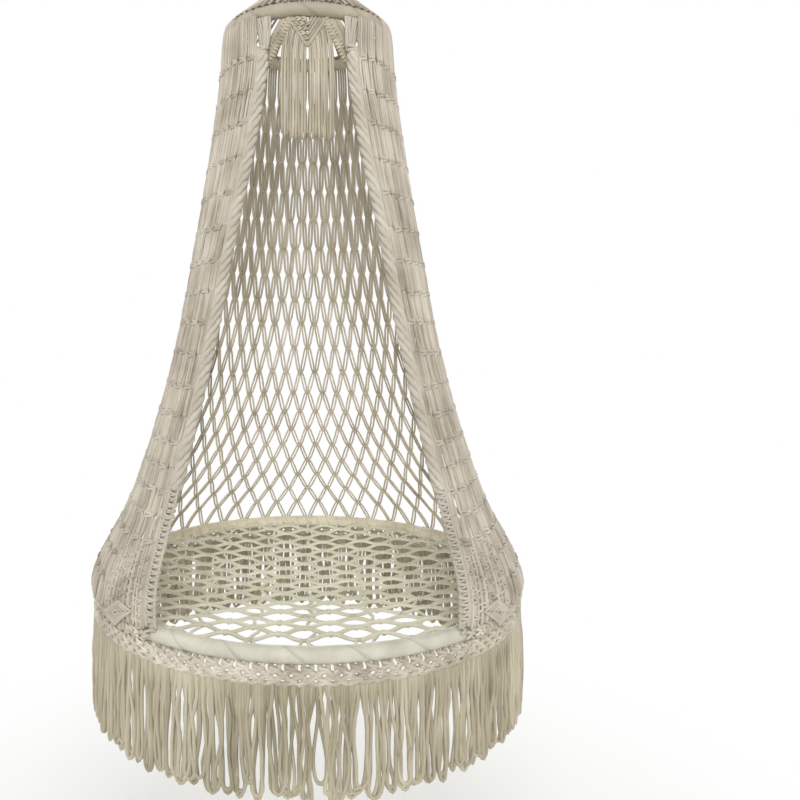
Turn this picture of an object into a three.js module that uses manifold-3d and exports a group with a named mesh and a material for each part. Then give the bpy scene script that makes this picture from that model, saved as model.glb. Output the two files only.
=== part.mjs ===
// A macrame hammock chair: a knotted cotton net hung between a small upper hoop and a large seat hoop.
// Millimetres, +Z up. The front, where a person gets in, faces -Y.
// The origin is the point at which a ceiling hook carries the hanging ring.
import * as THREE from "three";
import { mergeVertices } from "three/addons/utils/BufferGeometryUtils.js";
import Module from "manifold-3d";

const wasm = await Module();
wasm.setup();

// Clearances
const touchGap = 0.3; // between pieces that touch
const cutOverrun = 4; // how far a cutter runs past what it cuts
const gridSteps = 40; // straight steps in every full ring, so that nested rings keep their gap

// Hanging ring and rope
const ringRadius = 31; // to the middle of the wire
const ringWireRadius = 4;
const eyeCordRadius = 9;
const eyeLegGap = 0.8; // between the two legs of the eye
const eyeDrop = 92; // from the ring's wire to the foot of the eye
const eyeShoulderDrop = 34; // from the ring's wire to where the two legs meet
const whippingHeight = 44;
const whippingWall = 4.5;
const ropeRadius = 15;
const ropeLength = 231;
const ropeTailRadius = 11; // the rope's core, inside the gathered neck
const ropeTailLength = 54;
const ropeSides = 12;

// Gathered neck and the cone of suspension cords
const neckInnerRadius = 12;
const suspensionThickness = 5;
const neckHeight = 60;
const coneHeight = 130; // from the upper hoop's middle to the neck
const suspensionCount = 10;
const suspensionSlit = 1.5; // between neighbouring groups of cords
const gatherWrapWall = 6;
const gatherWrapHeight = 50;
const gatherWrapSides = 24;

// Hoops, each a steel rod under a wrapped cotton tape
const topHoopRadius = 145;
const seatHoopRadius = 382;
const rodRadius = 6;
const wrapRadius = 12; // outside of the tape
const hoopSides = 8;
const wallHeight = 1020; // from hoop to hoop

// Net walls
const cordThickness = 6;
const strutWidth = 10;
const netEdgeWidth = 7;
const netRows = 10;
const firstGapRow = 1;
const netRimLap = 9.2; // how far the net laps down over the seat hoop
const netRimShare = 0.16; // height of the rim strip above the first gaps, as a share of one row
const rowGrowthShare = 0.28; // rows are this much taller than average at the top, and less at the foot
const openingHalfSteps = 4; // half of the front opening, in ring steps
const sideNetSteps = 10;

// How the wall flares: share of the way down, share of the way out
const flareShares = [
  [0, 0],
  [0.12, 0.04],
  [0.27, 0.135],
  [0.42, 0.245],
  [0.565, 0.36],
  [0.71, 0.52],
  [0.85, 0.725],
  [0.94, 0.93],
  [0.98, 1],
  [1, 1],
];

// The front opening bulges below its middle: share of the way down, share of its half width at the hoops
const openingShares = [
  [0, 0.94],
  [0.07, 0.89],
  [0.21, 0.99],
  [0.42, 1.19],
  [0.66, 1.29],
  [0.86, 1.25],
  [1, 1.03],
];

// Edge braids beside the front opening
const braidHalfWidth = 11;
const braidHalfDepth = 7;
const braidInset = 11; // how far the braid lies inside the middle of the net
const braidSides = 6;
const braidStepsPerRow = 4;
const braidLay = 130; // height of one full twist

// Valance under the front of the upper hoop
const valanceThickness = 6;
const valanceHalfWidth = 34;
const valanceDepth = 52;
const strapWidth = 11;
const strapShort = 4.8; // from the edge braid's middle line to the strap's foot, measured across
const strapDrop = 74;
const chevronWidth = 12;
const valanceCordCount = 11;
const valanceCordPitch = 8.4;
const valanceCordRadius = 3.4;
const valanceLength = 216; // from the hoop down to the ends of its cords

// Seat net, skirt band and fringe
const seatNetThickness = 6;
const seatSag = 30;
const seatGapHalfWidth = 42.5; // from the middle of a gap to the middle of the next strut's knot
const seatGapHalfLength = 50;
const seatStrutWidth = 12;
const seatRimWidth = 10;
const leastSeatGap = 260; // smaller gaps beside the rim are left filled, in square millimetres
const bandThickness = 7.4;
const bandTopDrop = 9.5; // below the seat hoop's middle
const bandHeight = 27.5;
const fringeBackingHeight = 4;
const fringeLength = 200; // from the seat hoop's middle to the ends of the fringe
const fringeSections = 5;
const strandsPerSection = 28;
const strandRadius = 4.6;
const strandSides = 3;
const raggedDepth = 9; // how uneven the fringe's ends are
const raggedShare = 0.37; // share of a full turn from one strand's unevenness to the next

const cotton = 0xded6c6;
const tape = 0xefece4;
const steel = 0xb9bcc0;

// Heights, worked down from the hook
const ringCentreZ = ringWireRadius - ringRadius;
const ringFootZ = ringCentreZ - ringRadius;
const eyeFootZ = ringFootZ - eyeDrop;
const ropeTopZ = eyeFootZ - touchGap;
const ropeFootZ = ropeTopZ - ropeLength;
const neckTopZ = ropeFootZ - touchGap;
const neckFootZ = neckTopZ - neckHeight;
const topHoopZ = neckFootZ - coneHeight;
const seatHoopZ = topHoopZ - wallHeight;

const stepAngle = (2 * Math.PI) / gridSteps;
const wrapClear = wrapRadius + touchGap;
const netRimReach = wrapClear + touchGap; // from a hoop's middle to the net's first and last knots
const wallTopRadius = topHoopRadius + wrapClear + cordThickness / 2;
const wallFootRadius = seatHoopRadius + wrapClear + cordThickness / 2;

// A point by radius, azimuth and height. Azimuth 0 is the front, and it grows towards +X.
function polar(radius, azimuth, z) {
  return new THREE.Vector3(radius * Math.sin(azimuth), -radius * Math.cos(azimuth), z);
}

// A smooth curve through a table of shares, read at a height between the hoops
function shareCurve(shares) {
  const curve = new THREE.SplineCurve(shares.map(([down, value]) => new THREE.Vector2(down, value)));
  const samples = curve.getPoints(shares.length * gridSteps);
  return (z) => {
    const down = THREE.MathUtils.clamp((topHoopZ - z) / wallHeight, 0, 1);
    const next = Math.max(1, samples.findIndex((p) => p.x >= down));
    const [low, high] = [samples[next - 1], samples[next]];
    return THREE.MathUtils.lerp(low.y, high.y, (down - low.x) / (high.x - low.x));
  };
}

const flareAt = shareCurve(flareShares);
const openingAt = shareCurve(openingShares);

// The radius of the middle of the net wall, and half of the front opening, at a height
const wallRadius = (z) => THREE.MathUtils.lerp(wallTopRadius, wallFootRadius, flareAt(z));
const openingHalfAngle = (z) => openingHalfSteps * stepAngle * openingAt(z);

// Turns a closed three.js geometry into a solid that can be cut and joined.
function solidOf(geometry) {
  const bare = geometry.index ? geometry.toNonIndexed() : geometry.clone();
  for (const name of Object.keys(bare.attributes)) {
    if (name !== "position") bare.deleteAttribute(name);
  }
  const merged = mergeVertices(bare);
  return new wasm.Manifold(
    new wasm.Mesh({
      numProp: 3,
      vertProperties: merged.attributes.position.array,
      triVerts: new Uint32Array(merged.index.array),
    }),
  );
}

function geometryOf(solid) {
  const made = solid.getMesh();
  const geometry = new THREE.BufferGeometry();
  geometry.setAttribute("position", new THREE.BufferAttribute(Float32Array.from(made.vertProperties), 3));
  geometry.setIndex(new THREE.BufferAttribute(Uint32Array.from(made.triVerts), 1));
  return geometry;
}

// A closed solid from flat faces laid out on a surface. A face is a list of [across, down] points,
// and place(across, down, side) puts a point on the inner (0) or the outer (1) side.
function thickSheet(faces, place) {
  const keys = new Map();
  const layout = [];
  const indexOf = ([across, down]) => {
    const key = `${across.toFixed(5)} ${down.toFixed(5)}`;
    if (!keys.has(key)) {
      keys.set(key, layout.length);
      layout.push([across, down]);
    }
    return keys.get(key);
  };
  const rings = faces.map((face) => {
    const ring = face.map(indexOf).filter((index, i, all) => index !== all[(i + 1) % all.length]);
    const area = ring.reduce((sum, index, i) => {
      const [p, q] = [layout[index], layout[ring[(i + 1) % ring.length]]];
      return sum + p[0] * q[1] - q[0] * p[1];
    }, 0);
    return area > 0 ? ring.reverse() : ring;
  });
  const count = layout.length;
  const triangles = [];
  const edges = new Set();
  for (const ring of rings) {
    ring.forEach((index, i) => edges.add(`${index} ${ring[(i + 1) % ring.length]}`));
    for (let i = 1; i + 1 < ring.length; i += 1) {
      const [a, b, c] = [ring[0], ring[i], ring[i + 1]];
      triangles.push(a + count, b + count, c + count, a, c, b);
    }
  }
  for (const edge of edges) {
    const [from, to] = edge.split(" ").map(Number);
    if (!edges.has(`${to} ${from}`)) {
      triangles.push(to + count, from + count, from, to + count, from, to);
    }
  }
  const points = [0, 1].flatMap((side) => layout.map(([across, down]) => place(across, down, side)));
  return new THREE.BufferGeometry().setFromPoints(points).setIndex(triangles);
}

// The faces of a plain grid of whole steps
function gridFaces(acrossSteps, fromRow, toRow) {
  const faces = [];
  for (let row = fromRow; row < toRow; row += 1) {
    for (let step = 0; step < acrossSteps; step += 1) {
      faces.push([
        [step, row],
        [step + 1, row],
        [step + 1, row + 1],
        [step, row + 1],
      ]);
    }
  }
  return faces;
}

const parts = new THREE.Group();

function material(colour, roughness, metalness) {
  return new THREE.MeshStandardMaterial({ color: colour, roughness, metalness });
}

const cottonLook = () => material(cotton, 0.9, 0);
const tapeLook = () => material(tape, 0.6, 0);
const steelLook = () => material(steel, 0.35, 1);

function addPart(name, geometry, look) {
  const mesh = new THREE.Mesh(geometry, look());
  mesh.name = name;
  parts.add(mesh);
  return mesh;
}

// A regular polygon, for the section of a cord
function cordSection(radius, sides) {
  const corners = Array.from({ length: sides }, (_, i) => {
    const angle = (2 * Math.PI * i) / sides;
    return new THREE.Vector2(radius * Math.cos(angle), radius * Math.sin(angle));
  });
  return new THREE.Shape(corners);
}

// Hanging ring, rope eye and rope

function addHangingRing() {
  const ringSides = 24;
  const wireSides = 8;
  const ring = addPart(
    "hanging_ring",
    new THREE.TorusGeometry(ringRadius, ringWireRadius, wireSides, ringSides),
    steelLook,
  );
  ring.rotation.x = Math.PI / 2;
  ring.position.z = ringCentreZ;
}

function addRopeEye() {
  const bend = ringWireRadius + touchGap + eyeLegGap + eyeCordRadius;
  const leg = eyeCordRadius + eyeLegGap / 2;
  const half = Math.SQRT1_2 * bend;
  const shoulderZ = ringFootZ - eyeShoulderDrop;
  const oneSide = [
    [leg, eyeFootZ],
    [leg, shoulderZ],
    [bend, ringFootZ],
    [half, ringFootZ + half],
  ];
  const otherSide = oneSide.map(([y, z]) => [-y, z]).reverse();
  const route = [...oneSide, [0, ringFootZ + bend], ...otherSide];
  const path = new THREE.CatmullRomCurve3(route.map(([y, z]) => new THREE.Vector3(0, y, z)));
  const eye = new THREE.ExtrudeGeometry(cordSection(eyeCordRadius, 8), { steps: 26, extrudePath: path });
  addPart("rope_eye", eye, cottonLook);
}

// A long round-ended outline about two legs that lie side by side along Y
function stadium(halfSpread, radius) {
  const outline = new THREE.Path();
  outline.absarc(0, halfSpread, radius, 0, Math.PI);
  outline.absarc(0, -halfSpread, radius, Math.PI, 2 * Math.PI);
  outline.closePath();
  return outline;
}

function addEyeWhipping() {
  const spread = eyeCordRadius + eyeLegGap / 2;
  const inner = eyeCordRadius + touchGap + eyeLegGap / 2;
  const outline = new THREE.Shape(stadium(spread, inner + whippingWall).getPoints(6));
  outline.holes.push(new THREE.Path(stadium(spread, inner).getPoints(6)));
  const sleeve = new THREE.ExtrudeGeometry(outline, { depth: whippingHeight, bevelEnabled: false });
  const whipping = addPart("eye_whipping", sleeve, cottonLook);
  whipping.position.z = eyeFootZ + touchGap;
}

function addHangingRope() {
  const domeSteps = 4;
  const outline = Array.from({ length: domeSteps + 1 }, (_, i) => {
    const angle = (Math.PI / 2) * (1 - i / domeSteps);
    return new THREE.Vector2(ropeRadius * Math.cos(angle), ropeTopZ - ropeRadius * (1 - Math.sin(angle)));
  });
  outline[0].x = 0;
  outline.push(new THREE.Vector2(ropeRadius, ropeFootZ));
  outline.push(new THREE.Vector2(ropeTailRadius, ropeFootZ));
  outline.push(new THREE.Vector2(ropeTailRadius, ropeFootZ - ropeTailLength));
  outline.push(new THREE.Vector2(0, ropeFootZ - ropeTailLength));
  const rope = new THREE.LatheGeometry(outline.reverse(), ropeSides);
  addPart("hanging_rope", rope, cottonLook).rotation.x = Math.PI / 2;
}

// A lathe turns about Y, and a quarter turn about X stands it up: its Y then runs along Z.

function closedLathe(outline, sides) {
  const points = outline.map(([radius, z]) => new THREE.Vector2(radius, z));
  points.push(points[0].clone());
  return new THREE.LatheGeometry(points, sides);
}

function addGatherWrap() {
  const inner = neckInnerRadius + suspensionThickness + 2 * touchGap;
  const outer = inner + gatherWrapWall;
  const edge = gatherWrapWall / 4;
  const foot = neckTopZ - gatherWrapHeight;
  const outline = [
    [inner, foot],
    [outer - edge, foot],
    [outer, foot + edge],
    [outer, neckTopZ - edge],
    [outer - edge, neckTopZ],
    [inner, neckTopZ],
  ];
  addPart("gather_wrap", closedLathe(outline, gatherWrapSides), cottonLook).rotation.x = Math.PI / 2;
}

// The suspension cords: groups that leave the upper hoop at a tangent and run up into the neck

function addSuspensionCords() {
  const neckOuter = neckInnerRadius + suspensionThickness;
  const outerLap = wrapClear + suspensionThickness;
  const run = topHoopRadius - neckOuter;
  const slope = Math.atan2(coneHeight, run) - Math.asin(outerLap / Math.hypot(coneHeight, run));
  const leave = Math.PI / 2 - slope;
  const lapStart = Math.PI / 12;
  const lapRows = 2;
  const mitre = suspensionThickness * Math.tan(leave / 2);
  const rows = [];
  for (let i = 0; i <= lapRows; i += 1) {
    const angle = THREE.MathUtils.lerp(lapStart, leave, i / lapRows);
    rows.push(
      [wrapClear, outerLap].map((lap) => [
        topHoopRadius + lap * Math.cos(angle),
        topHoopZ + lap * Math.sin(angle),
      ]),
    );
  }
  rows.push([
    [neckInnerRadius, neckFootZ - mitre],
    [neckOuter, neckFootZ],
  ]);
  rows.push([
    [neckInnerRadius, neckTopZ],
    [neckOuter, neckTopZ],
  ]);
  rows.reverse();
  const steps = gridSteps / suspensionCount;
  const span = steps * stepAngle;
  for (let group = 0; group < suspensionCount; group += 1) {
    const middle = group * span;
    const place = (across, down, side) => {
      const [radius, z] = rows[down][side];
      const kept = 1 - suspensionSlit / (radius * span);
      return polar(radius, middle + (across / steps - 0.5) * span * kept, z);
    };
    const name = `suspension_cords_${String(group + 1).padStart(2, "0")}`;
    addPart(name, thickSheet(gridFaces(steps, 0, rows.length - 1), place), cottonLook);
  }
}

// Hoops

function addHoop(name, hoopRadius, hoopZ) {
  const section = Array.from({ length: hoopSides }, (_, i) => {
    const angle = (2 * Math.PI * i) / hoopSides;
    return [hoopRadius + rodRadius * Math.cos(angle), rodRadius * Math.sin(angle)];
  });
  const rod = addPart(name, closedLathe(section, gridSteps), steelLook);
  rod.rotation.x = Math.PI / 2;
  rod.position.z = hoopZ;
}

// A stretch of the tape round a hoop, open at both ends
function addHoopWrap(name, hoopRadius, hoopZ, fromStep, toStep) {
  const trim = touchGap / 2 / hoopRadius;
  const start = fromStep * stepAngle + trim;
  const reach = (toStep - fromStep) * stepAngle - 2 * trim;
  const sheet = gridFaces(hoopSides, 0, toStep - fromStep);
  const closed = sheet.map((face) => face.map(([around, along]) => [around % hoopSides, along]));
  const place = (around, along, side) => {
    const lap = side === 0 ? rodRadius + touchGap : wrapRadius;
    const angle = (-2 * Math.PI * around) / hoopSides;
    const azimuth = start + (along / (toStep - fromStep)) * reach;
    return polar(hoopRadius + lap * Math.cos(angle), azimuth, hoopZ + lap * Math.sin(angle));
  };
  addPart(name, tubeSheet(closed, place), tapeLook);
}

// A thick tube: like a thick sheet whose faces close on themselves, so no face is turned round.
function tubeSheet(faces, place) {
  const rows = 1 + Math.max(...faces.flat().map(([, along]) => along));
  const sides = 1 + Math.max(...faces.flat().map(([around]) => around));
  const index = (around, along, side) => (side * rows + along) * sides + (around % sides);
  const triangles = [];
  for (let along = 0; along + 1 < rows; along += 1) {
    for (let around = 0; around < sides; around += 1) {
      const corners = [
        [around, along],
        [around + 1, along],
        [around + 1, along + 1],
        [around, along + 1],
      ];
      const [a, b, c, d] = corners.map(([u, v]) => index(u, v, 1));
      const [e, f, g, h] = corners.map(([u, v]) => index(u, v, 0));
      triangles.push(a, b, c, a, c, d, e, g, f, e, h, g);
    }
  }
  for (let around = 0; around < sides; around += 1) {
    const [a, b, c, d] = [0, 1].flatMap((side) => [index(around, 0, side), index(around + 1, 0, side)]);
    triangles.push(a, b, d, a, d, c);
    const last = rows - 1;
    const [e, f, g, h] = [0, 1].flatMap((side) => [index(around, last, side), index(around + 1, last, side)]);
    triangles.push(e, h, f, e, g, h);
  }
  const points = [];
  for (const side of [0, 1]) {
    for (let along = 0; along < rows; along += 1) {
      for (let around = 0; around < sides; around += 1) points.push(place(around, along, side));
    }
  }
  return new THREE.BufferGeometry().setFromPoints(points).setIndex(triangles);
}

// Net walls

// The height of a net row. Rows below 0 and past the last one are the plain rims at the hoops.
function netRowZ(row) {
  const share = row / netRows;
  const down = share * (1 + rowGrowthShare) - rowGrowthShare * share * share;
  return THREE.MathUtils.lerp(topHoopZ - netRimReach, seatHoopZ + netRimReach, down);
}

function netPoint(azimuth, row, side) {
  const offset = (side - 0.5) * cordThickness;
  if (row < -1) {
    const lap = wrapClear + side * cordThickness;
    const angle = Math.PI / 15;
    return polar(topHoopRadius + lap * Math.cos(angle), azimuth, topHoopZ + lap * Math.sin(angle));
  }
  if (row < 0) return polar(wallTopRadius + offset, azimuth, topHoopZ);
  if (row > netRows) return polar(wallFootRadius + offset, azimuth, seatHoopZ - netRimLap);
  const z = netRowZ(row);
  return polar(wallRadius(z) + offset, azimuth, z);
}

// The faces of a diamond net, steps wide and netRows tall, with half gaps along its edges
function netFaces(steps) {
  const stepWidth = (row) => wallRadius(netRowZ(row)) * stepAngle;
  const strutShare = (row) => {
    const near = THREE.MathUtils.clamp(row, firstGapRow, netRows - firstGapRow);
    const tall = (netRowZ(near - 1) - netRowZ(near + 1)) / 2;
    const wide = stepWidth(near);
    return (strutWidth / 2 / wide / tall) * Math.hypot(wide, tall);
  };
  const corner = (step, row, across, down) => {
    const kept = 1 - strutShare(row);
    const edge = netEdgeWidth / stepWidth(row);
    if (across === 0 && step === 0) return [edge, row + down * (kept - edge)];
    if (across === 0 && step === steps) return [steps - edge, row + down * (kept - edge)];
    if (down === 0 && row === 0) return [step + across * (kept - netRimShare), netRimShare];
    if (down === 0 && row === netRows) return [step + across * (kept - netRimShare), netRows - netRimShare];
    return [step + across * kept, row + down * kept];
  };
  const faces = [];
  for (let row = 0; row <= netRows; row += 1) {
    for (let step = 0; step <= steps; step += 1) {
      if ((step + row) % 2 === 0) {
        faces.push([
          step > 0 ? corner(step - 1, row, 1, 0) : [0, row],
          row > 0 ? corner(step, row - 1, 0, 1) : [step, 0],
          step < steps ? corner(step + 1, row, -1, 0) : [steps, row],
          row < netRows ? corner(step, row + 1, 0, -1) : [step, netRows],
        ]);
        if (row < netRows && step < steps) {
          faces.push([
            corner(step, row + 1, 0, -1),
            corner(step + 1, row, -1, 0),
            corner(step + 1, row, 0, 1),
            corner(step, row + 1, 1, 0),
          ]);
        }
        if (row < netRows && step > 0) {
          faces.push([
            corner(step - 1, row, 1, 0),
            corner(step, row + 1, 0, -1),
            corner(step, row + 1, -1, 0),
            corner(step - 1, row, 0, 1),
          ]);
        }
      } else {
        if (step === 0 || step === steps) {
          const edge = netEdgeWidth / stepWidth(row);
          const middle = [step === 0 ? edge : steps - edge, row];
          faces.push([[step, row - 1], [step, row], middle, corner(step, row, 0, -1)]);
          faces.push([[step, row], [step, row + 1], corner(step, row, 0, 1), middle]);
        }
        if (row === 0 || row === netRows) {
          const middle = [step, corner(step, row, 1, 0)[1]];
          faces.push([[step - 1, row], [step, row], middle, corner(step, row, -1, 0)]);
          faces.push([[step, row], [step + 1, row], corner(step, row, 1, 0), middle]);
        }
      }
    }
  }
  return [...faces, ...gridFaces(steps, -2, 0), ...gridFaces(steps, netRows, netRows + 1)];
}

// How far a net's front edge has moved back from its place at the hoops
function openingShift(row) {
  if (row < 0 || row > netRows) return 0;
  return openingHalfAngle(netRowZ(row)) - openingHalfSteps * stepAngle;
}

// A net from one azimuth step to another. The front share is 1 at an edge that meets the opening.
function addNet(name, fromStep, steps, frontAtStart, frontAtEnd) {
  const middle = (fromStep + steps / 2) * stepAngle;
  const span = steps * stepAngle;
  const place = (across, row, side) => {
    const kept = 1 - touchGap / (wallTopRadius * span);
    const share = across / steps;
    const shift = openingShift(row) * (frontAtStart * (1 - share) - frontAtEnd * share);
    return netPoint(middle + (share - 0.5) * span * kept + shift, row, side);
  };
  addPart(name, thickSheet(netFaces(steps), place), cottonLook);
}

// The middle of a net's front edge, which is straight from row to row
function netEdgePoint(hand, row) {
  const upper = Math.min(Math.floor(row), netRows - 1);
  const [from, to] = [upper, upper + 1].map((at) => {
    const z = netRowZ(at);
    return polar(wallRadius(z), hand * openingHalfAngle(z), z);
  });
  return from.lerp(to, row - upper);
}

// A braid beside the front opening: a flat oval section that turns as it comes down
function addEdgeBraid(name, hand) {
  const braidSteps = netRows * braidStepsPerRow;
  const points = [];
  for (let i = 0; i <= braidSteps; i += 1) {
    const edge = netEdgePoint(hand, i / braidStepsPerRow);
    const z = edge.z;
    const wall = Math.hypot(edge.x, edge.y);
    const azimuth = Math.atan2(edge.x, -edge.y) - (hand * (braidHalfWidth + 2 * touchGap)) / wall;
    const twist = (hand * 2 * Math.PI * (topHoopZ - z)) / braidLay;
    for (let side = 0; side < braidSides; side += 1) {
      const angle = (2 * Math.PI * side) / braidSides;
      const across = braidHalfWidth * Math.cos(angle);
      const deep = braidHalfDepth * Math.sin(angle);
      const along = across * Math.cos(twist) - deep * Math.sin(twist);
      const out = across * Math.sin(twist) + deep * Math.cos(twist);
      points.push(polar(wall - braidInset + out, azimuth + along / wall, z));
    }
  }
  const triangles = [];
  for (let i = 0; i < braidSteps; i += 1) {
    for (let side = 0; side < braidSides; side += 1) {
      const next = (side + 1) % braidSides;
      const [a, b] = [i * braidSides + side, i * braidSides + next];
      const [c, d] = [b + braidSides, a + braidSides];
      triangles.push(a, b, c, a, c, d);
    }
  }
  for (let side = 1; side + 1 < braidSides; side += 1) {
    const last = braidSteps * braidSides;
    triangles.push(0, side + 1, side, last, last + side, last + side + 1);
  }
  addPart(name, new THREE.BufferGeometry().setFromPoints(points).setIndex(triangles), cottonLook);
}

// Valance: a knotted triangle with two straps, and the cords that hang from its lower edges

const valanceTopZ = topHoopZ - wrapClear - touchGap;
function valancePlace(across, down, side) {
  const radius = topHoopRadius + (side - 0.5) * valanceThickness;
  return polar(radius, across / topHoopRadius, valanceTopZ - down);
}

// Each strap ends beside an edge braid, so its reach follows from the braid's place there
const strapFootZ = valanceTopZ - strapDrop;
const braidAngle = openingHalfAngle(strapFootZ) - (braidHalfWidth + 2 * touchGap) / wallRadius(strapFootZ);
const strapReach = topHoopRadius * braidAngle - strapShort;

const valanceSlant = valanceDepth / valanceHalfWidth;
const strapSlant = strapDrop / (strapReach - valanceHalfWidth + strapWidth);
const strapInset = (valanceHalfWidth - strapWidth) * strapSlant;
const valanceKink = (valanceDepth + strapInset) / (valanceSlant + strapSlant);

// How far down the valance reaches at a place across it
function valanceEdge(across) {
  const out = Math.abs(across);
  return out < valanceKink ? valanceDepth - out * valanceSlant : out * strapSlant - strapInset;
}

function addValancePanel() {
  const half = valanceHalfWidth / 2;
  const triangle = [
    [[-valanceHalfWidth, 0], [-half, 0], [-half, valanceDepth / 2]],
    [[-half, 0], [0, 0], [0, valanceDepth], [-half, valanceDepth / 2]],
    [[0, 0], [half, 0], [half, valanceDepth / 2], [0, valanceDepth]],
    [[half, 0], [valanceHalfWidth, 0], [half, valanceDepth / 2]],
  ];
  const strap = (hand) => [
    [
      [hand * (valanceHalfWidth - strapWidth), 0],
      [hand * valanceHalfWidth, 0],
      [hand * strapReach, strapDrop - strapWidth],
      [hand * strapReach, strapDrop],
    ],
  ];
  const pieces = [triangle, strap(-1), strap(1)].map((faces) => solidOf(thickSheet(faces, valancePlace)));
  const joined = pieces.reduce((whole, piece) => whole.add(piece));
  addPart("valance_panel", geometryOf(joined), cottonLook);
}

function addValanceCords() {
  const reach = ((valanceCordCount - 1) / 2) * valanceCordPitch + valanceCordRadius;
  const drop = 2 * touchGap * Math.hypot(1, Math.max(valanceSlant, strapSlant));
  const breaks = [-reach, -valanceKink, 0, valanceKink, reach];
  const strips = breaks.slice(1).map((to, i) => {
    const from = breaks[i];
    return [
      [from, valanceEdge(from) + drop],
      [to, valanceEdge(to) + drop],
      [to, valanceEdge(to) + drop + chevronWidth],
      [from, valanceEdge(from) + drop + chevronWidth],
    ];
  });
  let whole = solidOf(thickSheet(strips, valancePlace));
  for (let i = 0; i < valanceCordCount; i += 1) {
    const across = (i - (valanceCordCount - 1) / 2) * valanceCordPitch;
    const sides = [-1, 0, 1].map((side) => valanceEdge(across + side * valanceCordRadius));
    const start = Math.max(...sides) + 2 * drop;
    const cord = new THREE.CylinderGeometry(valanceCordRadius, valanceCordRadius, valanceLength - start, 4);
    cord.rotateX(Math.PI / 2);
    const middle = polar(topHoopRadius, across / topHoopRadius, valanceTopZ - (start + valanceLength) / 2);
    whole = whole.add(solidOf(cord.translate(middle.x, middle.y, middle.z)));
  }
  addPart("valance_cords", geometryOf(whole), cottonLook);
}

// Seat net: a round sheet with diamond gaps, let down a little in the middle

function addSeatNet() {
  const radius = seatHoopRadius - wrapClear - 2 * touchGap;
  const tall = seatNetThickness;
  const disc = new THREE.CylinderGeometry(radius, radius, tall, gridSteps).rotateX(Math.PI / 2);
  const gapDisc = new THREE.CylinderGeometry(
    radius - seatRimWidth,
    radius - seatRimWidth,
    tall + 2 * cutOverrun,
    gridSteps,
  ).rotateX(Math.PI / 2);
  const shrink = seatStrutWidth / 2 / Math.sin(Math.atan2(seatGapHalfLength, seatGapHalfWidth));
  const across = seatGapHalfWidth - shrink;
  const along = (across * seatGapHalfLength) / seatGapHalfWidth;
  const diamond = new THREE.Shape([
    new THREE.Vector2(across, 0),
    new THREE.Vector2(0, along),
    new THREE.Vector2(-across, 0),
    new THREE.Vector2(0, -along),
  ]);
  const cutter = new THREE.ExtrudeGeometry(diamond, { depth: tall + 2 * cutOverrun, bevelEnabled: false });
  cutter.translate(0, 0, -tall / 2 - cutOverrun);
  const cutterSolid = solidOf(cutter);
  const [columns, rows] = [seatGapHalfWidth, seatGapHalfLength].map((pitch) => Math.ceil(radius / pitch));
  const cutters = [];
  for (let row = -rows; row <= rows; row += 1) {
    for (let column = -columns; column <= columns; column += 1) {
      if (Math.abs(row + column) % 2 === 1) {
        cutters.push(cutterSolid.translate([column * seatGapHalfWidth, row * seatGapHalfLength, 0]));
      }
    }
  }
  const field = solidOf(gapDisc);
  const least = leastSeatGap * (tall + 2 * cutOverrun);
  const gaps = cutters.map((cutterCopy) => cutterCopy.intersect(field)).filter((gap) => gap.volume() > least);
  const flat = gaps.reduce((net, gap) => net.subtract(gap), solidOf(disc));
  const geometry = geometryOf(flat);
  const position = geometry.attributes.position;
  for (let i = 0; i < position.count; i += 1) {
    const out = Math.hypot(position.getX(i), position.getY(i)) / radius;
    position.setZ(i, position.getZ(i) - seatSag * Math.max(0, 1 - out * out));
  }
  addPart("seat_net", geometry, cottonLook).position.z = seatHoopZ;
}

// Skirt: a knotted band under the seat hoop, and the fringe in sections

const bandOuter = wallFootRadius;
const bandInner = bandOuter - bandThickness;
const bandFootZ = seatHoopZ - bandTopDrop - bandHeight;

function addSkirtBand() {
  const outline = [
    [bandInner, bandFootZ],
    [bandOuter, bandFootZ],
    [bandOuter, bandFootZ + bandHeight],
    [bandInner, bandFootZ + bandHeight],
  ];
  addPart("skirt_band", closedLathe(outline, gridSteps), cottonLook).rotation.x = Math.PI / 2;
}

function addFringe(name, fromStep) {
  const steps = gridSteps / fringeSections;
  const span = steps * stepAngle;
  const start = fromStep * stepAngle;
  const topZ = bandFootZ - touchGap;
  const kept = 1 - touchGap / (bandInner * span);
  const place = (across, down, side) => {
    const radius = side === 0 ? bandInner : bandOuter;
    const azimuth = start + span / 2 + (across / steps - 0.5) * span * kept;
    return polar(radius, azimuth, topZ - down * fringeBackingHeight);
  };
  let fringe = solidOf(thickSheet(gridFaces(steps, 0, 1), place));
  const middle = (bandInner + bandOuter) / 2;
  for (let i = 0; i < strandsPerSection; i += 1) {
    const share = (i + 0.5) / strandsPerSection;
    const azimuth = start + share * span;
    const uneven = raggedDepth * (0.5 + 0.5 * Math.sin(2 * Math.PI * raggedShare * i));
    const footZ = seatHoopZ - fringeLength + uneven;
    const strandTop = topZ - fringeBackingHeight / 2;
    const strand = new THREE.CylinderGeometry(strandRadius, strandRadius, strandTop - footZ, strandSides);
    strand.rotateX(Math.PI / 2);
    strand.rotateZ(azimuth);
    const at = polar(middle, azimuth, (strandTop + footZ) / 2);
    fringe = fringe.add(solidOf(strand.translate(at.x, at.y, at.z)));
  }
  addPart(name, geometryOf(fringe), cottonLook);
}

function addWalls() {
  const backSteps = gridSteps - 2 * openingHalfSteps - 2 * sideNetSteps;
  addNet("net_right", openingHalfSteps, sideNetSteps, 1, 0);
  addNet("net_back", openingHalfSteps + sideNetSteps, backSteps, 0, 0);
  addNet("net_left", gridSteps - openingHalfSteps - sideNetSteps, sideNetSteps, 0, 1);
  addEdgeBraid("edge_braid_right", 1);
  addEdgeBraid("edge_braid_left", -1);
}

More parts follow.
